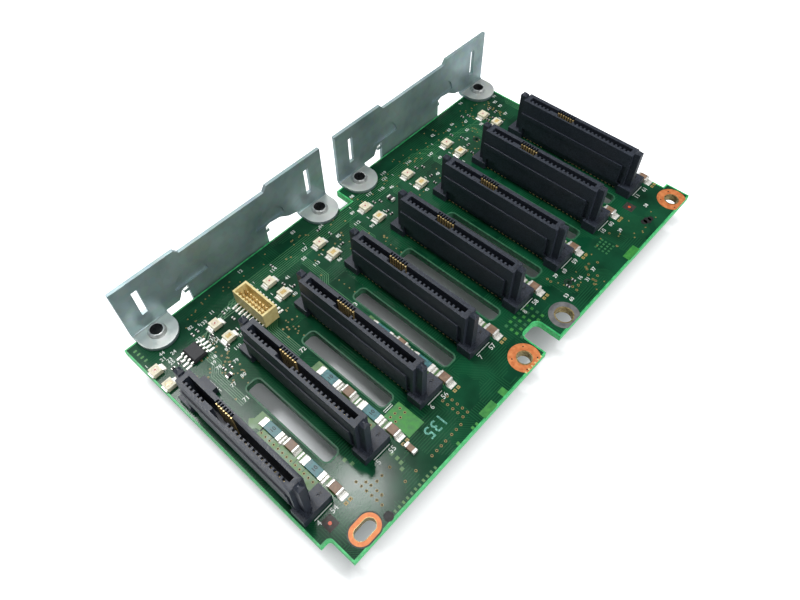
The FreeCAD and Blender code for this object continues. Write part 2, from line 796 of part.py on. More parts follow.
def at_each_drive(name, x, y, width, length, height, cap):
    """Like square parts, one at each drive connector, with a metal cap on both ends along Y.

    Returns the bodies and the caps; x and y are the middle of the part.
    """
    bodies, caps = [], []
    for i in range(DRIVES):
        middle = "drive_left + %d * drive_pitch + %s" % (i, x)
        left = "%s - %s / 2" % (middle, width)
        low = "drive_low + %s - %s / 2" % (y, length)
        body = block("%s_%d" % (name, i), left, "%s + %s" % (low, cap), 0,
                     width, "%s - 2 * %s" % (length, cap), height)
        bodies.append(body)
        for end, start in (("low", low), ("high", "%s + %s - %s" % (low, length, cap))):
            caps.append(block("%s_cap_%s_%d" % (name, end, i), left, start, 0,
                              width, cap, height))
    return bodies, caps


def lamps(name, y):
    """Lamp cups in a row, each with a metal terminal on its two sides along X."""
    cups, terminals = [], []
    for i in range(DRIVES):
        middle = "drive_left + %d * drive_pitch + lamp_across" % i
        left = middle + " - lamp_width / 2"
        low = "drive_low + %s - lamp_length / 2" % y
        cup = block("%s_%d" % (name, i), left + " + lamp_terminal", low, 0,
                    "lamp_width - 2 * lamp_terminal", "lamp_length", "lamp_height")
        sink = rod("%s_well_%d" % (name, i), middle, "drive_low + " + y,
                   "lamp_height - lamp_well_depth", "lamp_well", "lamp_well_depth + 1")
        cups.append(cut("%s_cup_%d" % (name, i), cup, sink))
        for side, start in (("near", left), ("far", middle + " + lamp_width / 2 - lamp_terminal")):
            terminals.append(block(
                "%s_terminal_%s_%d" % (name, side, i), start,
                "drive_low + %s - lamp_terminal_length / 2" % y, 0,
                "lamp_terminal", "lamp_terminal_length", "lamp_terminal_height"))
    return cups, terminals


def soldered_parts():
    activity, activity_ends = lamps("activity", "heel_high + lamp_far")
    fault, fault_ends = lamps("fault", "heel_high + lamp_near")
    size = ("capacitor_width", "capacitor_length", "capacitor_height", "capacitor_cap")
    foot, foot_caps = at_each_drive("foot_capacitor", "foot_capacitor_across",
                                    "foot_capacitor_along", *size)
    row, row_caps = at_each_drive("row_capacitor", "row_capacitor_across",
                                  "row_capacitor_along", *size)
    size = ("fuse_width", "fuse_length", "fuse_height", "fuse_cap")
    near, near_caps = at_each_drive("near_fuse", "fuse_across", "fuse_near", *size)
    far, far_caps = at_each_drive("far_fuse", "fuse_across", "fuse_far", *size)
    return [
        group("activity_lamps", *activity),
        group("fault_lamps", *fault),
        group("lamp_terminals", *activity_ends, *fault_ends),
        group("foot_capacitors", *foot),
        group("row_capacitors", *row),
        group("capacitor_caps", *foot_caps, *row_caps),
        group("drive_fuses", *near, *far),
        group("fuse_caps", *near_caps, *far_caps),
    ]


def memory_chip():
    left = "drive_left + chip_across - chip_width / 2"
    low = "drive_low + heel_high + chip_along - chip_length / 2"
    lower = block("chip_lower", left, low, "chip_stand", "chip_width", "chip_length",
                  "chip_height / 2")
    upper = doc.addObject("Part::Wedge", "chip_upper")
    upper.Placement.Rotation = FreeCAD.Rotation(FreeCAD.Vector(1, 0, 0), 90)
    bind(upper, Xmin=0, Xmax="chip_width", X2min="chip_draft", X2max="chip_width - chip_draft",
         Zmin=0, Zmax="chip_length", Z2min="chip_draft", Z2max="chip_length - chip_draft",
         Ymin=0, Ymax="chip_height / 2")
    place(upper, left, low + " + chip_length", "chip_stand + chip_height / 2")
    body = fuse("memory_chip", lower, upper)
    leads = []
    for side, edge, way in (("near", left, -1), ("far", left + " + chip_width", 1)):
        for i in range(4):
            y = "drive_low + heel_high + chip_along - chip_lead_width / 2"
            y += " + %s * chip_lead_pitch" % (i - 1.5)
            rise = "chip_stand + chip_height / 2 - lead_thick"
            knee = "%s - chip_lead_reach / 2" % edge if way < 0 else edge
            toe = "%s - chip_lead_reach" % edge if way < 0 else edge + " + chip_lead_reach / 2"
            drop = knee if way < 0 else edge + " + chip_lead_reach / 2 - lead_thick"
            name = "chip_lead_%s_%d" % (side, i)
            leads.append(fuse(
                name,
                block(name + "_top", knee, y, rise, "chip_lead_reach / 2", "chip_lead_width",
                      "lead_thick"),
                block(name + "_drop", drop, y, 0, "lead_thick", "chip_lead_width",
                      rise + " + lead_thick"),
                block(name + "_toe", toe, y, 0, "chip_lead_reach / 2 + lead_thick",
                      "chip_lead_width", "lead_thick") if way < 0 else
                block(name + "_toe", toe + " - lead_thick", y, 0,
                      "chip_lead_reach / 2 + lead_thick", "chip_lead_width", "lead_thick")))
    return [body, group("memory_chip_leads", *leads)]


def ribbon_header():
    """A shrouded two-row header: a box open at the top, with pins through its side walls."""
    left = "drive_left + header_across - header_width / 2"
    low = "drive_low + heel_high + header_along - header_length / 2"
    shell = block("header_block", left, low, 0, "header_width", "header_length", "header_height")
    inside = block("header_inside", left + " + header_wall", low + " + header_wall",
                   "header_floor", "header_width - 2 * header_wall",
                   "header_length - 2 * header_wall", "header_height")
    pins, tunnels = [], []
    play = "contact_play"
    size = "header_pin_size"
    for side, way in (("near", -1), ("far", 1)):
        for i in range(int(SIZES["header_pin_count"])):
            name = "header_pin_%s_%d" % (side, i)
            step = "(%d - (header_pin_count - 1) / 2) * header_pin_pitch" % i
            middle = "drive_low + heel_high + header_along + " + step
            y = "%s - %s / 2" % (middle, size)
            post_x = "drive_left + header_across + %d * header_pin_row - %s / 2" % (way, size)
            out = "header_width / 2 + header_lead_reach"
            foot_x = "drive_left + header_across - (%s)" % out if way < 0 else post_x
            foot_length = "%s - header_pin_row + %s / 2" % (out, size)
            pins.append(fuse(
                name,
                block(name + "_post", post_x, y, 0, size, size, "header_pin_top"),
                block(name + "_foot", foot_x, y, 0, foot_length, size, size)))
            if way < 0:
                tunnels.append(block(
                    name + "_notch", left + " + header_wall - header_notch",
                    middle + " - header_notch_width / 2", "header_floor",
                    "2 * header_notch", "header_notch_width", "header_height"))
            tunnels.append(block(
                name + "_tunnel", foot_x, "%s - %s" % (y, play), 0,
                "%s + %s" % (foot_length, play), "%s + 2 * %s" % (size, play),
                "%s + %s" % (size, play)))
            tunnels.append(block(
                name + "_well", "%s - %s" % (post_x, play), "%s - %s" % (y, play), 0,
                "%s + 2 * %s" % (size, play), "%s + 2 * %s" % (size, play),
                "header_floor + 1"))
    shell = cut("ribbon_header", shell, fuse("header_hollows", inside, *tunnels))
    return [shell, group("ribbon_header_pins", *pins)]


# --- Sockets on the far side -----------------------------------------------------------------
# Two data sockets in sheet shells and one power socket; the board rests on their mouths.

def data_sockets():
    nodes = []
    face = "-board_thick"
    low = "-board_thick - rear_height"
    for side in ("left", "right"):
        x, y = "data_socket_" + side, "data_socket_low"
        outer = block("data_shell_blank_" + side, x, y, low, "data_socket_width",
                      "data_socket_length", "rear_height")
        inner = block("data_shell_inside_" + side, x + " + data_shell", y + " + data_shell",
                      low + " - 1", "data_socket_width - 2 * data_shell",
                      "data_socket_length - 2 * data_shell", "rear_height + 2")
        nodes.append(cut("data_socket_shell_" + side, outer, inner))
        inset = "(data_shell + contact_play)"
        core = block("data_core_blank_" + side, x + " + " + inset, y + " + " + inset,
                     low + " + data_body_inset", "data_socket_width - 2 * " + inset,
                     "data_socket_length - 2 * " + inset, "rear_height - data_body_inset")
        slot = block("data_core_slot_" + side,
                     x + " + data_socket_width / 2 - data_cavity_width / 2",
                     y + " + data_socket_length / 2 - data_cavity_length / 2",
                     low + " + data_body_inset - 1", "data_cavity_width",
                     "data_cavity_length", "data_cavity_depth + 1")
        tongue = block("data_tongue_" + side,
                       x + " + data_socket_width / 2 - data_tongue / 2",
                       y + " + data_socket_length / 2 - data_tongue_length / 2",
                       low + " + 2 * data_body_inset", "data_tongue", "data_tongue_length",
                       "data_cavity_depth")
        hollow = cut("data_core_hollow_" + side, core, slot)
        nodes.append(fuse("data_socket_core_" + side, hollow, tongue))
    return nodes


def power_socket():
    ways, rows = int(SIZES["power_ways"]), 2
    low = "-board_thick - rear_height"
    block_x = "%d * power_pitch + power_wall" % ways
    block_y = "%d * power_pitch + power_wall" % rows
    shell = block("power_blank", "power_left", "power_low", low, block_x, block_y, "rear_height")
    cells, pins = [], []
    for i in range(ways):
        for j in range(rows):
            x = "power_left + power_wall / 2 + %s * power_pitch" % (i + 0.5)
            y = "power_low + power_wall / 2 + %s * power_pitch" % (j + 0.5)
            cell = "(power_pitch - power_wall)"
            name = "power_%d_%d" % (i, j)
            cells.append(block(name + "_cell", x + " - %s / 2" % cell, y + " - %s / 2" % cell,
                               low + " - 1", cell, cell,
                               "rear_height - power_floor + 1"))
            half = "power_pin_size / 2"
            cells.append(block(name + "_seat", "%s - %s - contact_play" % (x, half),
                               "%s - %s - contact_play" % (y, half), low,
                               "power_pin_size + 2 * contact_play",
                               "power_pin_size + 2 * contact_play", "rear_height + 1"))
            pins.append(block(name + "_pin", "%s - %s" % (x, half), "%s - %s" % (y, half),
                              "-board_thick - power_floor - power_pin_length + power_floor",
                              "power_pin_size", "power_pin_size", "power_pin_length"))
    shell = cut("power_socket", shell, fuse("power_hollows", *cells))
    return [shell, group("power_socket_pins", *pins)]


# --- Build, check and write -------------------------------------------------------------------

nodes = (circuit_board() + drive_connectors() + brackets() + soldered_parts()
         + memory_chip() + ribbon_header() + data_sockets() + power_socket())
doc.recompute()

for thing in doc.Objects:
    if "Invalid" in thing.State or "Error" in thing.State:
        raise RuntimeError("%s could not be built: %s" % (thing.Label, thing.State))
for node in nodes:
    if node.Shape.isNull() or not node.Shape.isValid():
        raise RuntimeError("%s has no valid shape" % node.Label)

os.makedirs("parts", exist_ok=True)
for node in nodes:
    node.Shape.exportStep("parts/%s.step" % node.Label)
    print("%-26s %3d solids %10.2f mm3" % (node.Label, len(node.Shape.Solids),
                                           node.Shape.Volume))
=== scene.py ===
import math
import random

import bmesh
import bpy
from mathutils import Matrix, Vector


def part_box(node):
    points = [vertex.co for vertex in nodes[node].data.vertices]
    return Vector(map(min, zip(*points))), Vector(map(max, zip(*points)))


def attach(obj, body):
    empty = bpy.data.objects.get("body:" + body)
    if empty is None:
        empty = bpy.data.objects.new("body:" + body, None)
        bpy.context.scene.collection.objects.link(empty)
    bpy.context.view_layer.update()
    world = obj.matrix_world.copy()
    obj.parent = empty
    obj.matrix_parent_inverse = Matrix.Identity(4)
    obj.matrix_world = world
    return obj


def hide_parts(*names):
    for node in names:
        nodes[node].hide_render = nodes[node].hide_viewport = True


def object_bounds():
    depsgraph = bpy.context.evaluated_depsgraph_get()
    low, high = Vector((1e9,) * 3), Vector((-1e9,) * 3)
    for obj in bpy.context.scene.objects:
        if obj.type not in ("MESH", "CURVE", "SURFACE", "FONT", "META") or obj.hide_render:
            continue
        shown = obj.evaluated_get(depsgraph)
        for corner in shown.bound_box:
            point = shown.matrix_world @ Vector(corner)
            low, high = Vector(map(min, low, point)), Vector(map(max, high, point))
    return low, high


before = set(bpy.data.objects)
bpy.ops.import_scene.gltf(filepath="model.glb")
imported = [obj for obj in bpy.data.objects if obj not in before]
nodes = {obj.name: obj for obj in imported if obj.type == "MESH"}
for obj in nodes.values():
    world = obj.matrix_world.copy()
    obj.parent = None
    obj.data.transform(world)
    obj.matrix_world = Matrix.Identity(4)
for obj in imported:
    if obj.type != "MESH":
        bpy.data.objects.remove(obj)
cad_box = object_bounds()
MM = 0.001

# --- Camera, table and lamps ---------------------------------------------------------------
# The board lies on a pale table and is seen from its low left corner, from about 18 cm away.
# A soft box stands above and behind, with a broad panel in front and a weaker one behind. A
# small lamp gives the pale sheen in the glossy mask near the low left corner.
camera = bpy.data.objects.new("camera", bpy.data.cameras.new("camera"))
bpy.context.scene.collection.objects.link(camera)
right = Vector((0.67458, -0.73812, -0.01092))
up = Vector((0.60501, 0.54432, 0.58110))
forward = Vector((0.42298, 0.39860, -0.81376))
turn = Matrix((right, up, -forward)).transposed().to_4x4()
camera.matrix_world = Matrix.Translation(Vector((-78.94, -33.86, 137.70)) * MM) @ turn
camera.data.lens = 29.89
camera.data.sensor_width = 36
camera.data.clip_start = 0.01
bpy.context.scene.camera = camera
bpy.context.scene.view_settings.view_transform = "Standard"


def link(name, mesh):
    """An object of the scene that shows this mesh."""
    piece = bpy.data.objects.new(name, mesh)
    bpy.context.scene.collection.objects.link(piece)
    return piece


def node_tree(name):
    """A new material and its empty node tree."""
    material = bpy.data.materials.new(name)
    material.use_nodes = True
    tree = material.node_tree
    tree.nodes.clear()
    return material, tree


def add(tree, kind, **settings):
    """A new node of the tree, with its settings."""
    node = tree.nodes.new(kind)
    for key, value in settings.items():
        setattr(node, key, value)
    return node


def chart(red, green, blue):
    """A colour as a paint chart gives it, 0 to 255, made linear for the shader."""
    def linear(value):
        value /= 255
        return value / 12.92 if value <= 0.04045 else ((value + 0.055) / 1.055) ** 2.4
    return (linear(red), linear(green), linear(blue), 1)


table = bmesh.new()
bmesh.ops.create_grid(table, x_segments=1, y_segments=1, size=3.0)
bmesh.ops.translate(table, verts=table.verts, vec=(0, 0, cad_box[0][2] - 0.05 * MM))
mesh = bpy.data.meshes.new("table")
table.to_mesh(mesh)
floor = link("table", mesh)
material, tree = node_tree("table_white")
shader = add(tree, "ShaderNodeBsdfPrincipled")
shader.inputs["Base Color"].default_value = (0.86, 0.88, 0.9, 1)
shader.inputs["Roughness"].default_value = 0.7
# Camera rays also see a glow that is faint under the board and strong beyond its outline: painted
# light that washes out the board's cast shadow round it, while the shade under the board stays.
paths = add(tree, "ShaderNodeLightPath")
painted_glow = add(tree, "ShaderNodeEmission")
place = add(tree, "ShaderNodeTexCoord")
axes = add(tree, "ShaderNodeSeparateXYZ")
tree.links.new(place.outputs["Object"], axes.inputs[0])
beyond = []
for at in (0, 1):
    middle = (cad_box[0][at] + cad_box[1][at]) / 2
    half = (cad_box[1][at] - cad_box[0][at]) / 2
    centred = add(tree, "ShaderNodeMath", operation="SUBTRACT")
    centred.inputs[1].default_value = middle
    tree.links.new(axes.outputs[at], centred.inputs[0])
    away = add(tree, "ShaderNodeMath", operation="ABSOLUTE")
    tree.links.new(centred.outputs[0], away.inputs[0])
    outside = add(tree, "ShaderNodeMath", operation="SUBTRACT")
    outside.inputs[1].default_value = half
    tree.links.new(away.outputs[0], outside.inputs[0])
    beyond.append(outside.outputs[0])
farther = add(tree, "ShaderNodeMath", operation="MAXIMUM")
tree.links.new(beyond[0], farther.inputs[0])
tree.links.new(beyond[1], farther.inputs[1])
fade = add(tree, "ShaderNodeMapRange", interpolation_type="SMOOTHSTEP")
fade.inputs["From Min"].default_value = -6 * MM
fade.inputs["From Max"].default_value = 5 * MM
fade.inputs["To Min"].default_value = 0.03
fade.inputs["To Max"].default_value = 0.8
tree.links.new(farther.outputs[0], fade.inputs["Value"])
tree.links.new(fade.outputs[0], painted_glow.inputs["Strength"])
both = add(tree, "ShaderNodeAddShader")
pick = add(tree, "ShaderNodeMixShader")
output = add(tree, "ShaderNodeOutputMaterial")
tree.links.new(shader.outputs[0], both.inputs[0])
tree.links.new(painted_glow.outputs[0], both.inputs[1])
tree.links.new(paths.outputs["Is Camera Ray"], pick.inputs[0])
tree.links.new(shader.outputs[0], pick.inputs[1])
tree.links.new(both.outputs[0], pick.inputs[2])
tree.links.new(pick.outputs[0], output.inputs[0])
mesh.materials.append(material)

world = bpy.data.worlds.new("studio")
bpy.context.scene.world = world
world.use_nodes = True
tree = world.node_tree
tree.nodes.clear()
paths = add(tree, "ShaderNodeLightPath")
soft = add(tree, "ShaderNodeBackground")
soft.inputs[0].default_value = (0.95, 0.98, 1, 1)
soft.inputs[1].default_value = 0.27
seen = add(tree, "ShaderNodeBackground")
seen.inputs[0].default_value = (1, 1, 1, 1)
seen.inputs[1].default_value = 1.0
mix = add(tree, "ShaderNodeMixShader")
output = add(tree, "ShaderNodeOutputWorld")
tree.links.new(paths.outputs["Is Camera Ray"], mix.inputs[0])
tree.links.new(soft.outputs[0], mix.inputs[1])
tree.links.new(seen.outputs[0], mix.inputs[2])
tree.links.new(mix.outputs[0], output.inputs[0])


def lamp(name, place, size, watts):
    """A square soft box that faces the middle of the board."""
    light = bpy.data.lights.new(name, "AREA")
    light.size = size
    light.energy = watts
    thing = bpy.data.objects.new(name, light)
    bpy.context.scene.collection.objects.link(thing)
    thing.location = place
    thing.rotation_euler = (BOARD_MIDDLE - Vector(place)).to_track_quat("-Z", "Y").to_euler()


BOARD_MIDDLE = Vector((0.0, 0.03, 0.0))
lamp("overhead", (-0.03, 0.36, 0.6), 0.16, 2.2)
lamp("sheen", (0.082, 0.19, 0.61), 0.05, 0.55)
lamp("front_panel", (-0.05, -0.6, 0.5), 0.4, 2.6)
lamp("back_panel", (0.45, 0.6, 0.6), 0.5, 0.5)

# --- Circuit board -------------------------------------------------------------------------
# A 2 mm plate of glass-epoxy laminate, routed to shape, with green solder mask on both faces.
# The mask stops a little short of every routed edge, where the bare laminate is lighter. The rim
# and the routed outline are painted brighter still, a painted glow of light through the laminate;
# the rims and edges round the openings are painted darker, as painted shade.


def merged_copy(node, dissolve=True):
    """The node's own shape, its loose triangles joined, ready to be finished."""
    shape = bmesh.new()
    shape.from_mesh(nodes[node].data)
    bmesh.ops.remove_doubles(shape, verts=shape.verts, dist=1e-6)
    if dissolve:
        bmesh.ops.dissolve_limit(shape, angle_limit=math.radians(0.5), verts=shape.verts,
                                 edges=shape.edges)
    return shape


def finished(name, shape, slot, *materials):
    """A piece of the object from its shape, on the one body, with its materials."""
    mesh = bpy.data.meshes.new(name)
    shape.to_mesh(mesh)
    shape.free()
    for material in materials:
        mesh.materials.append(material)
    piece = link(name, mesh)
    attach(piece, "root")
    return piece


def speckled(name, pale, deep, grain, rough, bump=0.0, metallic=0.0, gloss=0.5, stretch=(1, 1, 1)):
    """A finish that wanders between two colours and two roughnesses, grain millimetres apart."""
    material, tree = node_tree(name)
    place = add(tree, "ShaderNodeTexCoord")
    mapping = add(tree, "ShaderNodeMapping")
    mapping.inputs["Scale"].default_value = stretch
    noise = add(tree, "ShaderNodeTexNoise")
    noise.inputs["Scale"].default_value = 1 / (grain * MM)
    noise.inputs["Detail"].default_value = 4
    tree.links.new(place.outputs["Object"], mapping.inputs["Vector"])
    tree.links.new(mapping.outputs["Vector"], noise.inputs["Vector"])
    tint = add(tree, "ShaderNodeValToRGB")
    tint.color_ramp.elements[0].position = 0.36
    tint.color_ramp.elements[0].color = deep
    tint.color_ramp.elements[1].position = 0.64
    tint.color_ramp.elements[1].color = pale
    shine = add(tree, "ShaderNodeMapRange")
    shine.inputs["From Min"].default_value = 0.3
    shine.inputs["From Max"].default_value = 0.7
    shine.inputs["To Min"].default_value = rough[0]
    shine.inputs["To Max"].default_value = rough[1]
    shader = add(tree, "ShaderNodeBsdfPrincipled")
    shader.inputs["Metallic"].default_value = metallic
    shader.inputs["Specular IOR Level"].default_value = gloss
    output = add(tree, "ShaderNodeOutputMaterial")
    tree.links.new(noise.outputs[0], tint.inputs[0])
    tree.links.new(noise.outputs[0], shine.inputs["Value"])
    tree.links.new(tint.outputs[0], shader.inputs["Base Color"])
    tree.links.new(shine.outputs[0], shader.inputs["Roughness"])
    tree.links.new(shader.outputs[0], output.inputs[0])
    if bump:
        relief = add(tree, "ShaderNodeBump")
        relief.inputs["Strength"].default_value = bump
        relief.inputs["Distance"].default_value = 0.05 * MM
        tree.links.new(noise.outputs[0], relief.inputs["Height"])
        tree.links.new(relief.outputs[0], shader.inputs["Normal"])
    return material


TRACK_STEP = 0.62
TRACK_SHARE = 0.36


def solder_mask(name, pale, deep, line):
    """Glossy green lacquer over the copper, with bundles of fine tracks showing through."""
    material, tree = node_tree(name)
    place = add(tree, "ShaderNodeTexCoord")
    axes = add(tree, "ShaderNodeSeparateXYZ")
    tree.links.new(place.outputs["Object"], axes.inputs[0])

    def result(kind, *terms):
        """The output of a maths node whose terms are numbers or other outputs."""
        node = add(tree, "ShaderNodeMath", operation=kind)
        for at, term in enumerate(terms):
            if isinstance(term, (int, float)):
                node.inputs[at].default_value = term
            else:
                tree.links.new(term, node.inputs[at])
        return node.outputs[0]

    patches = add(tree, "ShaderNodeTexVoronoi", distance="CHEBYCHEV")
    patches.inputs["Scale"].default_value = 1 / (7 * MM)
    tree.links.new(place.outputs["Object"], patches.inputs["Vector"])
    lot = add(tree, "ShaderNodeSeparateColor")
    tree.links.new(patches.outputs["Color"], lot.inputs[0])
    diagonal = result("ADD", axes.outputs[0], axes.outputs[1])
    ink = 0
    for direction, low, high in ((axes.outputs[1], 0.0, 0.3), (axes.outputs[0], 0.3, 0.5),
                                 (diagonal, 0.5, 0.66)):
        across = result("FRACT", result("MULTIPLY", direction, 1 / (TRACK_STEP * MM)))
        stripe = result("LESS_THAN", across, TRACK_SHARE)
        chosen = result("MULTIPLY", result("GREATER_THAN", lot.outputs[0], low),
                        result("LESS_THAN", lot.outputs[0], high))
        ink = result("ADD", ink, result("MULTIPLY", stripe, chosen))

    cloud = add(tree, "ShaderNodeTexNoise")
    cloud.inputs["Scale"].default_value = 1 / (11 * MM)
    cloud.inputs["Detail"].default_value = 5
    tree.links.new(place.outputs["Object"], cloud.inputs["Vector"])
    ground = add(tree, "ShaderNodeValToRGB")
    ground.color_ramp.elements[0].position = 0.35
    ground.color_ramp.elements[0].color = deep
    ground.color_ramp.elements[1].position = 0.65
    ground.color_ramp.elements[1].color = pale
    tree.links.new(cloud.outputs[0], ground.inputs[0])
    drawn = add(tree, "ShaderNodeMix", data_type="RGBA")
    drawn.inputs[7].default_value = line
    tree.links.new(result("MULTIPLY", ink, 0.55), drawn.inputs[0])
    tree.links.new(ground.outputs[0], drawn.inputs[6])
    shine = add(tree, "ShaderNodeMapRange")
    shine.inputs["To Min"].default_value = 0.12
    shine.inputs["To Max"].default_value = 0.2
    tree.links.new(cloud.outputs[0], shine.inputs["Value"])
    relief = add(tree, "ShaderNodeBump")
    relief.inputs["Strength"].default_value = 0.25
    relief.inputs["Distance"].default_value = 0.03 * MM
    tree.links.new(ink, relief.inputs["Height"])
    shader = add(tree, "ShaderNodeBsdfPrincipled")
    shader.inputs["Specular IOR Level"].default_value = 0.18
    output = add(tree, "ShaderNodeOutputMaterial")
    tree.links.new(drawn.outputs[2], shader.inputs["Base Color"])
    tree.links.new(shine.outputs[0], shader.inputs["Roughness"])
    tree.links.new(relief.outputs[0], shader.inputs["Normal"])
    tree.links.new(shader.outputs[0], output.inputs[0])
    return material


mask_green = solder_mask("solder_mask", chart(18, 80, 52), chart(6, 52, 32), chart(34, 98, 60))
# Rim and outline edge: bare laminate, painted brighter as a glow of light through the laminate.
# Rims and edges round the openings: the same laminate painted darker, painted shade.
bare_rim_and_glow_green = speckled("bare_laminate_rim_and_painted_glow", chart(84, 214, 130), chart(40, 164, 90), 1.5, (0.3, 0.5))
edge_glow_green = speckled("routed_edge_painted_glow", chart(104, 222, 144), chart(72, 198, 114), 0.5, (0.5, 0.7),
                      bump=0.2)
inner_shade_green = speckled("slot_rim_painted_shade", chart(50, 114, 80), chart(32, 86, 58), 1.0, (0.4, 0.6),
                       bump=0.3)


def inner_bands(faces):
    """Of faces that form bands round the outline and round each opening, all but the outline's."""
    left, bands = set(faces), []
    while left:
        band, todo = set(), [left.pop()]
        while todo:
            face = todo.pop()
            band.add(face)
            joined = {other for edge in face.edges for other in edge.link_faces} & left
            left -= joined
            todo += joined
        bands.append(band)
    bands.sort(key=lambda band: max(v.co.x for f in band for v in f.verts)
               - min(v.co.x for f in band for v in f.verts))
    return [face for band in bands[:-1] for face in band]


MASK, RIM, EDGE, INNER = range(4)
LEVEL = 0.99
shape = merged_copy("circuit_board")
for face in shape.faces:
    face.material_index = MASK if abs(face.normal.z) > LEVEL else EDGE
for face in inner_bands([face for face in shape.faces if face.material_index == EDGE]):
    face.material_index = INNER
for side in (1, -1):
    flat = [face for face in shape.faces if face.normal.z * side > LEVEL]
    rim = bmesh.ops.inset_region(shape, faces=flat, thickness=0.4 * MM, use_boundary=True,
                                 use_even_offset=True)
    for face in rim["faces"]:
        face.material_index = RIM
    for face in inner_bands(rim["faces"]):
        face.material_index = INNER
board = finished("board_plate", shape, "board_laminate", mask_green, bare_rim_and_glow_green, edge_glow_green,
                 inner_shade_green)
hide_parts("circuit_board")

# --- Copper under the mask -----------------------------------------------------------------
# Beside each connector a broad area of copper carries the drive's power, so the mask looks
# paler there. Bundles of tracks run from the connectors' ends towards the bracket edge.
FIRST = -61.2
PITCH = 17.78
LOW = 9.0
CONNECTORS = [(FIRST + i * PITCH, LOW) for i in range(8)]


def paint(verts, slot):
    """Gives every face on these vertices one of the piece's materials."""
    for face in {f for v in verts for f in v.link_faces}:
        face.material_index = slot


def tile(shape, x, y, dx, dy, rise, slot=0, angle=0.0, sunk=0.02):
    """A thin flat slab on the board, centred on x, y; sizes are in millimetres."""
    place = Matrix.Translation(Vector((x, y, (rise - sunk) / 2)) * MM)
    place @= Matrix.Rotation(angle, 4, "Z")
    place @= Matrix.Diagonal(Vector((dx * MM, dy * MM, (rise + sunk) * MM, 1)))
    paint(bmesh.ops.create_cube(shape, size=1, matrix=place)["verts"], slot)


def dot(shape, x, y, radius, rise, slot=0, sides=12, sunk=0.02):
    """A thin round slab on the board."""
    place = Matrix.Translation(Vector((x, y, (rise - sunk) / 2)) * MM)
    made = bmesh.ops.create_cone(shape, cap_ends=True, segments=sides, radius1=radius * MM,
                                 radius2=radius * MM, depth=(rise + sunk) * MM, matrix=place)
    paint(made["verts"], slot)


def track(shape, points, width, rise, slot=0):
    """A run of copper from point to point, each length a hair above the last."""
    for (x, y), (nx, ny) in zip(points, points[1:]):
        run = math.hypot(nx - x, ny - y)
        rise += 0.001
        tile(shape, (x + nx) / 2, (y + ny) / 2, run + width, width, rise, slot,
             math.atan2(ny - y, nx - x))


copper_green = speckled("masked_copper", chart(96, 138, 74), chart(62, 112, 60), 2.2, (0.25, 0.45))
patch_green = speckled("thin_masked_copper", chart(62, 150, 58), chart(42, 126, 52), 1.2,
                       (0.3, 0.5))
track_green = speckled("masked_tracks", chart(52, 120, 70), chart(36, 100, 60), 3.0, (0.25, 0.4))
shadow_green = speckled("mask_gap", chart(14, 46, 30), chart(8, 34, 22), 1.0, (0.3, 0.5))

POWER, PATCH, TRACK, GAP = range(4)
FILM = 0.012
shape = bmesh.new()
for x, y in CONNECTORS:
    tile(shape, x + 6.9, y + 12.2, 5.2, 23.0, FILM, POWER)
    tile(shape, x + 8.1, y + 25.2, 3.6, 3.4, FILM, POWER)
    tile(shape, x + 6.6, y + 26.0, 2.6, 2.6, 0.011, POWER, math.pi / 4)
    for along in (9.6, 12.4, 17.6, 20.3, 23.4):
        tile(shape, x + 6.9, y + along, 1.5, 0.16, 0.02, GAP)
    for k in range(5):
        shift = 0.5 * k
        track(shape, [(x + 7.6 + shift, y + 31.5), (x + 7.6 + shift, y + 42.6 - 0.4 * shift),
                      (x + 9.8 + shift, y + 45.0 - 0.4 * shift),
                      (x + 9.8 + shift, y + 52.0 + shift)], 0.2, 0.014, TRACK)
for k in range(9):
    y = 62.4 + 0.62 * k
    track(shape, [(-52 + 2.2 * k, y - 3), (-48 + 2.2 * k, y), (60 - 3.1 * k, y),
                  (63 - 3.1 * k, y - 3)], 0.2, 0.018, TRACK)
for x, y, dx, dy in ((-31.2, 10.6, 5.0, 7.8), (-10.7, -1.7, 1.9, 1.8), (-16.5, -1.95, 4.6, 1.9),
                     (-22.4, -2.2, 0.7, 0.7), (-21.1, -2.3, 0.7, 0.7), (-27.5, -2.2, 0.8, 0.8)):
    tile(shape, x, y, dx, dy, FILM, PATCH)
for i in range(6):
    for k in range(4):
        if k or i not in (1, 2, 3):
            tile(shape, 4.4 + 1.7 * i, 3.9 + 1.6 * k, 0.8, 0.8, FILM,
                 PATCH if (i + k) % 3 else TRACK)
for i in range(11):
    tile(shape, -47.8 + 1.27 * i, -2.05, 0.55, 0.7, FILM, POWER)
for x, y in ((-39.0, 7.1), (-39.0, 5.5), (-39.2, 4.2), (-40.1, 3.1), (-47.0, 13.7), (-46.5, 11.9)):
    tile(shape, x, y, 0.9, 0.8, FILM, POWER)
tile(shape, 45.4, -1.85, 5.2, 2.1, FILM, PATCH)
for i in range(4):
    for k in range(4):
        tile(shape, 40.8 + 1.1 * i, 2.9 + 1.15 * k, 0.6, 0.6, FILM, TRACK)
    tile(shape, -61.7 + 0.1 * i, 71.0 - 1.35 * i, 0.9, 0.5, FILM, PATCH)
finished("masked_copper_areas", shape, "board_laminate", copper_green, patch_green, track_green,
         shadow_green)

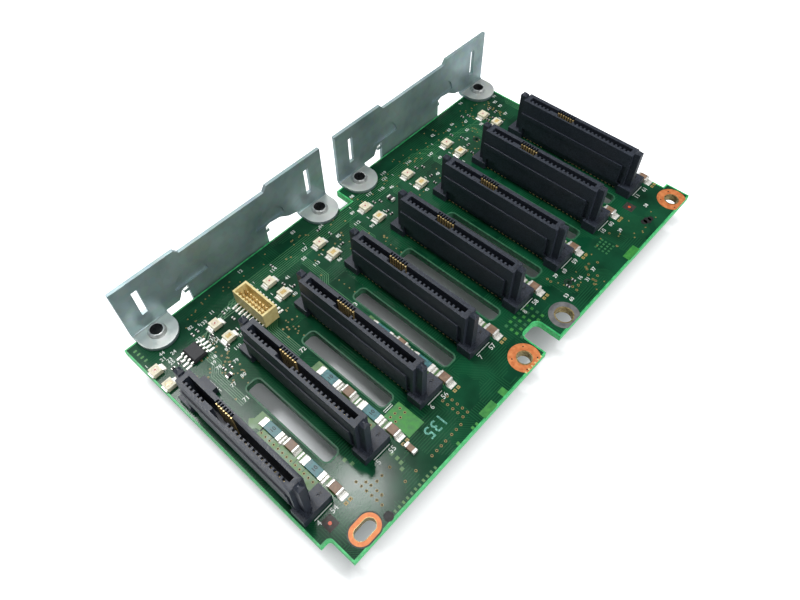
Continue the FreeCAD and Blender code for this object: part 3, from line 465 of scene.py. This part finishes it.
# --- Plated holes and bare pads ------------------------------------------------------------
# Every small plated hole shows a ring of gilt copper with a dark middle. The screw holes have
# broad copper lands with plated walls, where the board is earthed; two targets guide assembly.
via_gold = speckled("plated_copper", chart(186, 164, 98), chart(142, 122, 68), 0.3, (0.3, 0.5))
via_dark = speckled("hole_shadow", chart(26, 30, 18), chart(14, 18, 10), 0.2, (0.7, 0.9))
land_copper = speckled("earth_land", chart(232, 144, 84), chart(204, 112, 58), 1.2, (0.35, 0.5),
                       bump=0.2, metallic=0.15)
land_grey = speckled("masked_land", chart(120, 120, 120), chart(92, 93, 94), 1.5, (0.4, 0.6))
tooth_gold = speckled("plated_teeth", chart(238, 224, 156), chart(210, 192, 118), 0.4, (0.4, 0.6))
barrel_gold = speckled("plated_wall", chart(186, 168, 118), chart(128, 108, 66), 0.6, (0.25, 0.4),
                       metallic=0.7)


fiducial_ground = speckled("fiducial_ground", chart(66, 58, 52), chart(46, 42, 38), 0.6,
                           (0.4, 0.6))
fiducial_orange = speckled("fiducial_copper", chart(240, 96, 48), chart(222, 78, 38), 0.3,
                           (0.3, 0.4))
GOLD, HOLE, GROUND, CENTRE = range(4)


def via(shape, x, y, radius=0.34, middle=0.22):
    """A small plated hole: its ring of gilt copper and its dark middle."""
    dot(shape, x, y, radius, 0.026, GOLD)
    dot(shape, x, y, middle, 0.032, HOLE, sides=8)


shape = bmesh.new()
for x, y in ((-20.2, 7.1), (-21.8, 7.1), (-20.2, 5.65), (-21.8, 5.65), (-20.2, 4.1), (-21.8, 4.1),
             (-20.2, 2.6), (-21.8, 2.6), (-20.2, 1.1), (-21.8, 1.1),
             (-48.8, 8.4), (-48.7, 6.9), (-47.4, 6.8), (-47.2, 5.5), (-45.7, 5.2), (-48.7, 5.4),
             (-48.7, 3.9), (-47.2, 3.8), (-47.2, 2.4), (-48.7, 2.4), (-48.7, 0.9), (-38.4, 0.6),
             (-41.7, 0.7),
             (-33.5, 0.25), (-31.9, 0.25), (-30.4, 0.25), (-28.9, 0.25), (-26.8, 0.25),
             (-25.2, 0.25), (-23.6, 0.25), (-41.6, 5.3), (-44.1, 5.3),
             (-29.8, 13.1), (-31.5, 13.1), (-32.9, 13.2), (-29.8, 11.6), (-31.4, 11.5),
             (-32.9, 11.6),
             (36.6, 3.0), (44.9, 2.2), (31.0, 0.8), (32.8, 0.6), (47.4, 6.2), (32.8, 3.8),
             (25.5, 3.4), (25.3, 2.0), (26.9, 2.6), (23.2, 9.6), (23.1, 8.5), (31.1, 0.0),
             (29.9, -0.3), (31.5, 2.5), (33.2, 4.4), (34.6, 4.4)):
    via(shape, x, y)
for x, y in ((-44.2, 64.2), (-47.9, 62.1), (-52.5, 53.6), (-53.1, 52.8), (-54.2, 52.1),
             (-48.3, 54.4), (-47.8, 53.1), (-48.0, 51.6), (-46.9, 49.3), (-47.6, 47.8),
             (-50.7, 47.1), (-53.5, 42.8), (-47.5, 57.4), (-47.5, 58.7), (-55.9, 54.3),
             (-52.4, 56.9), (-53.5, 58.7), (-48.8, 52.5), (2.4, 63.2), (-1.2, 65.2), (-1.4, 60.9),
             (-16.5, 64.8), (-17.8, 65.2), (-12.7, 68.8), (5.7, 50.3), (5.7, 51.4), (0.4, 66.0),
             (-24.6, 54.8), (-29.8, 49.6), (-32.2, 48.8), (-33.3, 49.1), (-32.3, 48.0),
             (-31.6, 52.7), (-33.9, 46.4), (-10.9, 59.7), (-9.0, 60.2), (-5.3, 59.4), (-9.7, 68.6),
             (-8.5, 67.6), (44.8, 60.1), (42.1, 55.6), (32.0, 65.5), (9.7, 68.0), (5.3, 51.0),
             (49.6, 54.8), (37.0, 66.0), (34.3, 65.3), (47.5, 69.9), (45.2, 65.5), (35.5, 64.0)):
    via(shape, x, y, 0.26, 0.13)
scatter = random.Random(8)
for low, high, count in (((-50, 66), (-8, 71), 26), ((10, 64), (62, 71), 44),
                         ((60, 56), (70, 68), 40), ((42, 53), (58, 62), 16),
                         ((-52, 46), (-46, 60), 20), ((-34, 45), (-28, 60), 12),
                         ((20, 50), (36, 62), 16), ((-16, 52), (6, 62), 16),
                         ((24, -2), (66, 7), 26)):
    for _ in range(count):
        via(shape, scatter.uniform(low[0], high[0]), scatter.uniform(low[1], high[1]), 0.2, 0.09)
for x, y in CONNECTORS:
    for k in range(13):
        via(shape, x + 6.15, y + 6.2 + 1.4 * k, 0.34, 0.2)
    for across in (7.7, 8.95):
        tile(shape, x + across, y - 2.3, 0.85, 0.8, 0.03, GOLD)
        dot(shape, x + across, y - 2.3, 0.16, 0.036, HOLE, sides=8)
for x, y in CONNECTORS[:-1]:
    for k in range(4):
        via(shape, x + 12.4, y + 35 + 1.9 * k, 0.18, 0.08)
for x, y in ((-58.65, 6.25), (59.6, 7.3)):
    tile(shape, x, y, 2.8, 3.0, 0.016, GROUND)
    dot(shape, x, y, 0.42, 0.03, CENTRE)
finished("plated_holes", shape, "contact_gold", via_gold, via_dark, fiducial_ground,
         fiducial_orange)


def ring(shape, x, y, inner, outer, low, high, slot, travel=0.0):
    """A flat ring of plating round a hole, cut off where the board ends. Travel draws it out
    along X for a long hole."""
    corners = [shape.verts.new(Vector((x + r, y, z)) * MM)
               for r, z in ((inner, low), (outer, low), (outer, high), (inner, high))]
    sides = [shape.edges.new((corners[k], corners[(k + 1) % 4])) for k in range(4)]
    bmesh.ops.spin(shape, geom=corners + sides, cent=Vector((x, y, 0)) * MM, axis=(0, 0, 1),
                   angle=2 * math.pi, steps=48, use_merge=True)
    around, todo = set(corners), list(corners)
    while todo:
        for edge in todo.pop().link_edges:
            for vert in edge.verts:
                if vert not in around:
                    around.add(vert)
                    todo.append(vert)
    paint(around, slot)
    for vert in around:
        vert.co.x += travel / 2 * MM if vert.co.x >= x * MM else -travel / 2 * MM
        vert.co.y = max(vert.co.y, cad_box[0][1])


COPPER, GREY, BARREL, PIT, BORDER, TOOTH = range(6)
SUNK = -0.02
LONG_HOLE = -54.7
LONG_TRAVEL = 2.4
shape = bmesh.new()
ring(shape, 0, 0, 1.72, 4.05, SUNK, 0.03, COPPER)
ring(shape, 70.1, 0, 1.72, 4.05, SUNK, 0.03, COPPER)
ring(shape, LONG_HOLE, 0, 1.57, 2.62, SUNK, 0.03, COPPER, LONG_TRAVEL)
ring(shape, LONG_HOLE, 0, 2.4, 2.95, SUNK, 0.02, BORDER, LONG_TRAVEL)
ring(shape, 16.7, 0, 2.22, 4.0, SUNK, 0.03, GREY)
ring(shape, 25.9, 5.1, 0.62, 1.1, SUNK, 0.02, BORDER)
ring(shape, 53.2, 57.2, 0.62, 1.1, SUNK, 0.02, BORDER)
for x, inner, wide, travel in ((0, 1.7, 0.34, 0), (70.1, 1.7, 0.34, 0),
                               (LONG_HOLE, 1.55, 0.1, LONG_TRAVEL), (16.7, 2.2, 0.34, 0)):
    ring(shape, x, 0, inner, inner + wide, -2.0, 0.05, BARREL, travel)
bmesh.ops.recalc_face_normals(shape, faces=shape.faces)
for x, y in ((2.3, 2.1), (2.2, -2.3), (-2.2, -2.4), (-2.3, 2.0), (68.0, 2.2), (72.2, 2.2),
             (67.9, -2.2)):
    dot(shape, x, y, 0.2, 0.045, PIT, sides=8)
for k in range(6):
    tile(shape, -3.0 + 1.2 * k, -2.72, 0.4, 0.5, 0.05, TOOTH)
finished("hole_lands", shape, "contact_gold", land_copper, land_grey, barrel_gold, via_dark,
         shadow_green, tooth_gold)

# --- Printed marks -------------------------------------------------------------------------
# White ink screened on the mask: plain numbers beside the parts, a line along each connector's
# foot and short corner marks. Black dabs of ink sit near the low edge, and a number stands in
# pale cyan ink beside the bright patch.
silk_white = speckled("screened_ink", chart(250, 252, 248), chart(226, 234, 226), 0.3, (0.5, 0.7))
ink_cyan = speckled("washed_cyan_ink", chart(132, 206, 190), chart(58, 134, 112), 0.5, (0.4, 0.6))
# This black serves the printed ink and, on the connector feet, painted shade.
ink_and_shade_black = speckled("stamp_ink_and_painted_shade", chart(30, 32, 32), chart(14, 15, 16), 0.6, (0.4, 0.6))


def printed_number(shape, number, x, y, height, level=0.0, turn=0.0):
    """A screened number, with its low left corner at x, y on the surface at this level."""
    text = bpy.data.curves.new("number", "FONT")
    text.body = str(number)
    text.size = height / 0.7 * MM
    text.extrude = 0.012 * MM
    text.offset = 0.012 * MM
    text.resolution_u = 2
    letters = bpy.data.objects.new("number", text)
    bpy.context.scene.collection.objects.link(letters)
    bpy.context.view_layer.update()
    flat = bpy.data.meshes.new_from_object(letters)
    flat.transform(Matrix.Translation(Vector((x, y, level + 0.014)) * MM)
                   @ Matrix.Rotation(turn, 4, "Z"))
    shape.from_mesh(flat)
    bpy.data.objects.remove(letters)
    bpy.data.curves.remove(text)
    bpy.data.meshes.remove(flat)


BLACK = 1
SCREENED = 0.02
DABBED = 0.03
shape = bmesh.new()
for number, x, y in (
        (44, -57.6, 65.7), (21, -58.3, 64.2), (23, -57.4, 62.9), (24, -55.5, 63.9),
        (25, -57.4, 61.8), (1, -62.3, 65.4), (82, -48.4, 66.6), (33, -49.0, 62.4),
        (135, -47.0, 59.9), (134, -46.6, 58.7), (18, -49.7, 55.5), (19, -50.8, 54.3),
        (78, -50.7, 52.4), (77, -51.3, 46.2), (79, -46.8, 50.8), (80, -48.1, 46.5),
        (81, -46.0, 55.0), (110, -44.0, 53.5), (11, -41.9, 66.3), (133, -45.3, 65.3),
        (109, -40.9, 55.6), (12, -28.7, 71.2),
        (114, -22.4, 65.1), (42, -30.0, 65.6), (41, -21.6, 60.4), (40, -23.9, 55.0),
        (14, -38.6, 64.2), (127, -12.1, 64.2), (50, -14.4, 61.9), (113, -13.3, 58.1),
        (83, -10.1, 71.0), (84, -3.4, 66.9), (85, -2.6, 60.8), (86, -8.2, 54.6), (88, 10.4, 68.5),
        (89, 6.0, 63.9), (90, 6.2, 56.4), (112, 4.2, 60.2), (117, 14.4, 65.4), (118, 18.2, 64.2),
        (119, 23.3, 68.2), (121, 21.9, 66.5), (46, 20.8, 62.6), (116, 31.8, 65.9),
        (45, 26.9, 54.3), (48, 33.9, 56.2), (147, 38.8, 63.2), (49, 39.6, 60.2), (61, 42.8, 53.9),
        (62, 45.6, 68.3), (63, 50.9, 66.2), (64, 51.4, 59.4), (65, 54.7, 62.0), (66, 53.6, 67.2),
        (67, 57.6, 64.8), (68, 59.2, 56.2), (69, 62.0, 55.4), (91, 73.4, 65.8), (92, 71.2, 63.8),
        (93, 70.8, 61.4), (94, 63.3, 71.6), (97, 68.9, 57.8), (98, 59.8, 60.4),
        (87, 28.4, 7.8), (53, 22.1, 3.0), (60, 22.1, 1.4), (16, 29.3, 3.6),
        (29, 25.6, 8.7), (31, 30.2, 1.9), (37, 34.0, 2.6), (38, 63.3, 4.2), (39, 50.4, 4.6)):
    printed_number(shape, number, x - 0.4 * len(str(number)), y - 0.5, 1.0)
for i, (x, y) in enumerate(CONNECTORS):
    printed_number(shape, 4 + i, x + 0.6, y - 1.7, 1.25)
    printed_number(shape, 54 + i, x + 4.3, y - 1.9, 1.25)
    printed_number(shape, 71 + i, x + 8.6, y + 31.6, 1.15)
    tile(shape, x + 3.2, y - 0.06, 5.0, 0.2, SCREENED)
    tile(shape, x + 6.75, y + 40.6, 0.18, 3.0, SCREENED)
    tile(shape, x + 6.75, y + 38.3, 0.18, 0.9, SCREENED)
    tile(shape, x + 3.2, y + 43.4, 2.6, 0.18, SCREENED)
    dashes = ((2.6, 48.8), (-2.4, 50.34), (-3.1, 56.72))
    for across, along in dashes if i else dashes[:1]:
        tile(shape, x + across, y + along, 0.18, 0.9, SCREENED)
for y in (15.4, 14.9):
    tile(shape, -31.6, y, 2.6, 0.16, SCREENED)
dot(shape, -49.5, -1.75, 1.12, DABBED, BLACK, sides=24)
for x, y, radius in ((57.4, 1.3, 0.9), (58.5, 0.9, 1.15), (59.7, 0.6, 0.8)):
    dot(shape, x, y, radius, DABBED, BLACK, sides=20)
finished("printed_marks", shape, "board_laminate", silk_white, ink_and_shade_black)
shape = bmesh.new()
printed_number(shape, 135, -24.5, 5.6, 3.0, turn=math.pi)
finished("hand_inked_number", shape, "board_laminate", ink_cyan)

# --- Drive connectors ----------------------------------------------------------------------
# Each is one glass-filled nylon moulding, black and faintly grained, with its edges slightly
# rounded by the mould. Its spring contacts are gold-plated and stand in both walls.
housing_black = speckled("glass_filled_nylon", chart(58, 65, 78), chart(26, 30, 39), 0.25,
                         (0.34, 0.56), bump=0.5, gloss=0.5)
contact_gold = speckled("gold_flash", chart(246, 222, 160), chart(196, 164, 104), 0.4, (0.3, 0.45),
                        metallic=0.45)


def edged_copy(node, slot, width, material, dissolve=True):
    """The node's own shape with its edges rounded as the mould or the press leaves them."""
    shape = merged_copy(node, dissolve)
    piece = finished(node + "_finished", shape, slot, material)
    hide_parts(node)
    edge = piece.modifiers.new("edges", "BEVEL")
    edge.width = width * MM
    edge.segments = 2
    edge.limit_method = "ANGLE"
    edge.angle_limit = math.radians(35)
    edge.use_clamp_overlap = True
    return piece


for i in range(1, 9):
    edged_copy("drive_connector_%d" % i, "connector_black", 0.12, housing_black)
    nodes["drive_contacts_%d" % i].data.materials[0] = contact_gold

# Each foot has a small cross in its dimple, drawn as a thin dark cross on the foot: painted shade
# of the cross's hollow.
FOOT_TOP = 2.9
shape = bmesh.new()
for x, y in CONNECTORS:
    for angle, rise in ((0.35, 0.025), (0.35 + math.pi / 2, 0.02)):
        tile(shape, x + 5.1, y + 2.4, 0.85, 0.2, FOOT_TOP + rise, 0, angle, sunk=0.06 - FOOT_TOP)
finished("foot_pips", shape, "connector_black", ink_and_shade_black)

# --- Brackets and rivets -------------------------------------------------------------------
# Two folded sheets of galvanised steel with the zinc's soft mottling; the upward faces of the low
# tabs take a paler copy of the zinc, a painted highlight.
# Hollow rivets of bright steel hold their four tabs to the board.


def zinc(name, pale, deep):
    """Soft clouds of zinc under a faint spangle, duller where it has been handled."""
    material, tree = node_tree(name)
    place = add(tree, "ShaderNodeTexCoord")
    spangle = add(tree, "ShaderNodeTexVoronoi")
    spangle.inputs["Scale"].default_value = 1 / (1.7 * MM)
    cloud = add(tree, "ShaderNodeTexNoise")
    cloud.inputs["Scale"].default_value = 1 / (15 * MM)
    cloud.inputs["Detail"].default_value = 4
    fine = add(tree, "ShaderNodeTexNoise")
    fine.inputs["Scale"].default_value = 1 / (0.35 * MM)
    for texture in (spangle, cloud, fine):
        tree.links.new(place.outputs["Object"], texture.inputs["Vector"])
    tone = add(tree, "ShaderNodeValToRGB")
    tone.color_ramp.elements[0].position = 0.32
    tone.color_ramp.elements[0].color = deep
    tone.color_ramp.elements[1].position = 0.68
    tone.color_ramp.elements[1].color = pale
    tree.links.new(cloud.outputs[0], tone.inputs[0])
    flake = add(tree, "ShaderNodeMix", data_type="RGBA", blend_type="SOFT_LIGHT")
    flake.inputs[0].default_value = 0.12
    tree.links.new(tone.outputs[0], flake.inputs[6])
    tree.links.new(spangle.outputs["Color"], flake.inputs[7])
    grey = add(tree, "ShaderNodeHueSaturation")
    grey.inputs["Saturation"].default_value = 0.75
    tree.links.new(flake.outputs[2], grey.inputs["Color"])
    dull = add(tree, "ShaderNodeMapRange")
    dull.inputs["From Min"].default_value = 0.3
    dull.inputs["From Max"].default_value = 0.7
    dull.inputs["To Min"].default_value = 0.5
    dull.inputs["To Max"].default_value = 0.3
    tree.links.new(cloud.outputs[0], dull.inputs["Value"])
    relief = add(tree, "ShaderNodeBump")
    relief.inputs["Strength"].default_value = 0.12
    relief.inputs["Distance"].default_value = 0.05 * MM
    tree.links.new(fine.outputs[0], relief.inputs["Height"])
    shader = add(tree, "ShaderNodeBsdfPrincipled")
    shader.inputs["Metallic"].default_value = 0.55
    output = add(tree, "ShaderNodeOutputMaterial")
    tree.links.new(grey.outputs[0], shader.inputs["Base Color"])
    tree.links.new(dull.outputs[0], shader.inputs["Roughness"])
    tree.links.new(relief.outputs[0], shader.inputs["Normal"])
    tree.links.new(shader.outputs[0], output.inputs[0])
    return material


galvanised = zinc("galvanised_sheet_finish", chart(166, 196, 198), chart(118, 148, 150))
tab_highlight_zinc = zinc("galvanised_tab_painted_highlight", chart(236, 242, 236), chart(206, 214, 208))
TAB_HEIGHT = 4.0 * MM
for side in ("left", "right"):
    bracket = edged_copy("bracket_" + side, "galvanised_sheet", 0.12, galvanised, dissolve=False)
    bracket.data.materials.append(tab_highlight_zinc)
    # Upward faces below tab height get the paler copy of the zinc: painted highlight.
    for face in bracket.data.polygons:
        if face.normal.z > 0.9 and face.center.z < TAB_HEIGHT:
            face.material_index = 1
rivet_steel = speckled("rolled_steel", chart(222, 224, 222), chart(180, 184, 184), 0.8,
                       (0.3, 0.42), metallic=0.6)
bore_shadow = speckled("rivet_bore", chart(70, 74, 76), chart(40, 44, 47), 0.6, (0.4, 0.6),
                       metallic=0.6)
RIVET_AXES = [Vector((x, 71.2)) * MM for x in (-54.7, 0.4, 16.42, 71.52)]
RIVET_BORE = 1.7 * MM
rivets = edged_copy("bracket_rivets", "rivet_steel", 0.12, rivet_steel)
rivets.data.materials.append(bore_shadow)
for face in rivets.data.polygons:
    reach = min((face.center.xy - axis).length for axis in RIVET_AXES)
    if reach < RIVET_BORE and abs(face.normal.z) < 0.5:
        face.material_index = 1

# --- Signal lamps --------------------------------------------------------------------------
# Two rows of moulded lamps stand beyond the connectors: the far one of each pair is clear with
# a tiny red die in the middle, the near one amber. Each is soldered by a terminal at each end.
lamp_cream = speckled("lamp_moulding", chart(250, 245, 222), chart(236, 226, 194), 0.8,
                      (0.35, 0.5), bump=0.2)
lens_amber = speckled("amber_lens", chart(232, 206, 142), chart(212, 176, 106), 0.5, (0.12, 0.25))
lens_clear = speckled("clear_lens", chart(242, 232, 214), chart(226, 206, 184), 0.5, (0.1, 0.2))
die_red = speckled("red_die", chart(206, 70, 50), chart(160, 44, 32), 0.1, (0.3, 0.4))
solder_bright = speckled("solder", chart(248, 247, 240), chart(220, 219, 212), 0.5, (0.25, 0.4),
                         bump=0.2, metallic=0.25)
edged_copy("activity_lamps", "lamp_body", 0.1, lamp_cream)
edged_copy("fault_lamps", "lamp_body", 0.1, lamp_cream)
nodes["lamp_terminals"].data.materials[0] = solder_bright
AMBER, CLEAR, DIE, CREAM = range(4)
LAMP_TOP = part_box("activity_lamps")[1][2] / MM
LAMPS_ACROSS = -0.4
LAMPS_ALONG = {AMBER: 47.9, CLEAR: 53.3}


def disc(shape, x, y, top, foot_radius, top_radius, depth, slot, sides):
    """A low disc with a sloping side, sunk into the part below it."""
    place = Matrix.Translation(Vector((x, y, top)) * MM)
    made = bmesh.ops.create_cone(shape, cap_ends=True, segments=sides, radius1=foot_radius * MM,
                                 radius2=top_radius * MM, depth=depth * MM, matrix=place)
    paint(made["verts"], slot)


def soften_top(shape, verts, height, offset, segments):
    """Rounds the upper edges of a block that stands on the board."""
    around = dict.fromkeys(e for v in verts for e in v.link_edges)
    rim = [e for e in around if all(v.co.z > height / 2 * MM for v in e.verts)]
    bmesh.ops.bevel(shape, geom=rim, offset=offset * MM, offset_type="OFFSET", affect="EDGES",
                    segments=segments, profile=0.5, material=-1)


def solder(shape, x, y, dx, dy, height):
    """A fillet of solder: a low pillow whose upper edges slope down to the pad."""
    place = Matrix.Translation(Vector((x, y, height / 2)) * MM)
    place @= Matrix.Diagonal(Vector((dx * MM, dy * MM, height * MM, 1)))
    made = bmesh.ops.create_cube(shape, size=1, matrix=place)
    slope = min(height * 0.8, dx * 0.45, dy * 0.45)
    soften_top(shape, made["verts"], height, slope, segments=2)


lenses, joints = bmesh.new(), bmesh.new()
for i, (x, y) in enumerate(CONNECTORS):
    x += LAMPS_ACROSS
    for colour, along in LAMPS_ALONG.items():
        disc(lenses, x, y + along, LAMP_TOP - 0.09, 0.89, 0.84, 0.1, CREAM, sides=24)
        tile(lenses, x, y + along, 1.45, 1.05, LAMP_TOP - 0.02, colour, sunk=0.08 - LAMP_TOP)
        if colour == CLEAR:
            disc(lenses, x, y + along, LAMP_TOP - 0.03, 0.26, 0.22, 0.05, DIE, sides=10)
        for way in (-1, 1):
            cut = 0.65 if i == 0 and way < 0 else 0
            solder(joints, x + way * 1.95 + cut / 2, y + along, 0.8 - cut, 2.3, 0.3)
finished("lamp_lenses", lenses, "lamp_body", lens_amber, lens_clear, die_red, lamp_cream)

# --- Fuses and capacitors ------------------------------------------------------------------
# Beside each connector stand two blue-green fuses with a ceramic capacitor between them, and a
# larger capacitor at its foot. All have tinned end caps in bright solder.
fuse_teal = speckled("fuse_body", chart(74, 134, 138), chart(44, 100, 108), 0.9, (0.3, 0.45),
                     bump=0.2)
ceramic = speckled("ceramic_body", chart(150, 122, 100), chart(124, 96, 76), 1.0, (0.35, 0.5),
                   bump=0.15)
cap_tin = speckled("tinned_cap", chart(250, 248, 242), chart(222, 220, 214), 0.7, (0.22, 0.38),
                   bump=0.2, metallic=0.3)
for node, slot, width, material in (("drive_fuses", "fuse_teal", 0.08, fuse_teal),
                                    ("foot_capacitors", "ceramic_brown", 0.1, ceramic),
                                    ("row_capacitors", "ceramic_brown", 0.1, ceramic),
                                    ("capacitor_caps", "terminal_metal", 0.12, cap_tin),
                                    ("fuse_caps", "terminal_metal", 0.08, cap_tin)):
    edged_copy(node, slot, width, material)
FUSE_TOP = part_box("drive_fuses")[1][2] / MM
ratings = bmesh.new()
for x, y in CONNECTORS:
    for along in (8.0, 21.5):
        printed_number(ratings, 10, x + 7.6, y + along - 0.6, 1.0, FUSE_TOP)
        for way in (-1, 1):
            solder(joints, x + 8.3, y + along + way * 3.35, 2.6, 0.9, 0.3)
    for across, along in ((8.4, 1.45), (8.5, 15.4)):
        for way in (-1, 1):
            solder(joints, x + across, y + along + way * 1.85, 2.4, 0.7, 0.35)
    solder(joints, x + 8.4, y - 1.0, 2.2, 1.0, 0.12)
    solder(joints, x + 8.45, y + 12.45, 2.1, 0.55, 0.12)
    solder(joints, x + 8.45, y + 13.4, 2.1, 0.55, 0.12)
finished("fuse_ratings", ratings, "fuse_teal", ink_and_shade_black)

# --- Very small parts ----------------------------------------------------------------------
# Resistors and capacitors a millimetre long fill the ground round the lamps and the chip:
# black or brown bodies with bright ends, each on its own two dabs of solder.
chip_black = speckled("moulded_epoxy", chart(46, 46, 49), chart(31, 31, 35), 0.25, (0.5, 0.65),
                      bump=0.4)
RESISTOR, TIN, CERAMIC = range(3)


def small_part(shape, x, y, length, width, height, along_y=False, slot=RESISTOR):
    """A body between two bright ends, with softened upper edges."""
    turn = math.pi / 2 if along_y else 0
    place = Matrix.Translation(Vector((x, y, 0)) * MM) @ Matrix.Rotation(turn, 4, "Z")
    for middle, size, rise, which in ((0, length * 0.56, height * 0.94, slot),
                                      (-length * 0.38, length * 0.24, height, TIN),
                                      (length * 0.38, length * 0.24, height, TIN)):
        put = place @ Matrix.Translation(Vector((middle, 0, rise / 2)) * MM)
        put @= Matrix.Diagonal(Vector((size * MM, width * MM, rise * MM, 1)))
        made = bmesh.ops.create_cube(shape, size=1, matrix=put)
        paint(made["verts"], which)
        soften_top(shape, made["verts"], rise, 0.05, segments=1)


shape = bmesh.new()
small_part(shape, -35.5, 4.7, 3.0, 1.4, 1.0, along_y=True, slot=CERAMIC)
small_part(shape, -50.6, 48.7, 1.7, 0.9, 0.6)
small_part(shape, 17.0, 59.4, 2.2, 1.3, 0.9, along_y=True)
for x, y in ((12.9, 56.9), (-58.3, 60.2), (-56.3, 60.2), (-46.4, 60.6), (-45.6, 55.4),
             (-41.3, 57.2), (-22.6, 57.0), (-5.0, 66.2), (-4.1, 57.9), (12.9, 55.4),
             (31.7, 57.0), (49.4, 57.3), (66.9, 62.9), (67.2, 60.6)):
    small_part(shape, x, y, 1.05, 0.55, 0.4)
for x, y in ((47.5, 54.2), (30.4, 54.3), (-49.4, 64.3), (-47.9, 64.5), (-48.7, 50.4),
             (-50.2, 50.9), (-40.1, 63.9), (-39.5, 60.7), (-22.0, 66.2), (-23.9, 59.4),
             (-3.7, 62.9), (12.8, 62.0), (14.4, 61.0), (31.3, 62.4), (33.0, 61.2),
             (49.4, 63.9), (50.6, 60.8), (58.3, 66.9), (60.0, 65.7), (62.6, 60.0),
             (64.4, 59.2), (24.7, 4.3), (27.3, 4.3)):
    small_part(shape, x, y, 1.05, 0.55, 0.4, along_y=True)
finished("very_small_parts", shape, "chip_black", chip_black, cap_tin, ceramic)

# --- Memory chip and ribbon header ---------------------------------------------------------
# The chip is a black moulded package with a moulded pin-one dimple and tinned gull-wing leads.
# The header is a cream moulding, open at the top, with two rows of tinned pins.
edged_copy("memory_chip", "chip_black", 0.08, chip_black)
nodes["memory_chip_leads"].data.materials[0] = solder_bright
header_cream = speckled("header_moulding", chart(240, 222, 158), chart(222, 200, 132), 1.4,
                        (0.35, 0.5), bump=0.25)
edged_copy("ribbon_header", "header_cream", 0.09, header_cream)
pin_gilt = speckled("gilt_pin", chart(232, 206, 150), chart(190, 160, 104), 0.4, (0.25, 0.4),
                    metallic=0.6)
TAIL_TOP = 1.2 * MM
shape = merged_copy("ribbon_header_pins")
for face in shape.faces:
    face.material_index = 1 if face.calc_center_median().z > TAIL_TOP else 0
pins = finished("ribbon_header_pins_finished", shape, "terminal_metal", solder_bright, pin_gilt)
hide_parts("ribbon_header_pins")
for x, y, reach, pitch, count, length in ((FIRST + 9.0, LOW + 50.5, 3.4, 1.27, 4, 1.7),
                                          (FIRST + 27.6, LOW + 49.35, 3.5, 1.2, 9, 1.5)):
    for way in (-1, 1):
        for k in range(count):
            solder(joints, x + way * reach, y + (k - (count - 1) / 2) * pitch, length, 0.66, 0.16)
finished("solder_joints", joints, "terminal_metal", solder_bright)

# --- Sockets on the far side ---------------------------------------------------------------
# Two shielded data sockets with black cores, and a black power socket of eight ways.
shell_tin = speckled("socket_shield", chart(198, 200, 200), chart(150, 153, 154), 1.2, (0.25, 0.4),
                     metallic=0.9)
for side in ("left", "right"):
    edged_copy("data_socket_shell_" + side, "socket_shell", 0.08, shell_tin)
    edged_copy("data_socket_core_" + side, "connector_black", 0.1, housing_black)
edged_copy("power_socket", "connector_black", 0.12, housing_black)
nodes["power_socket_pins"].data.materials[0] = solder_bright
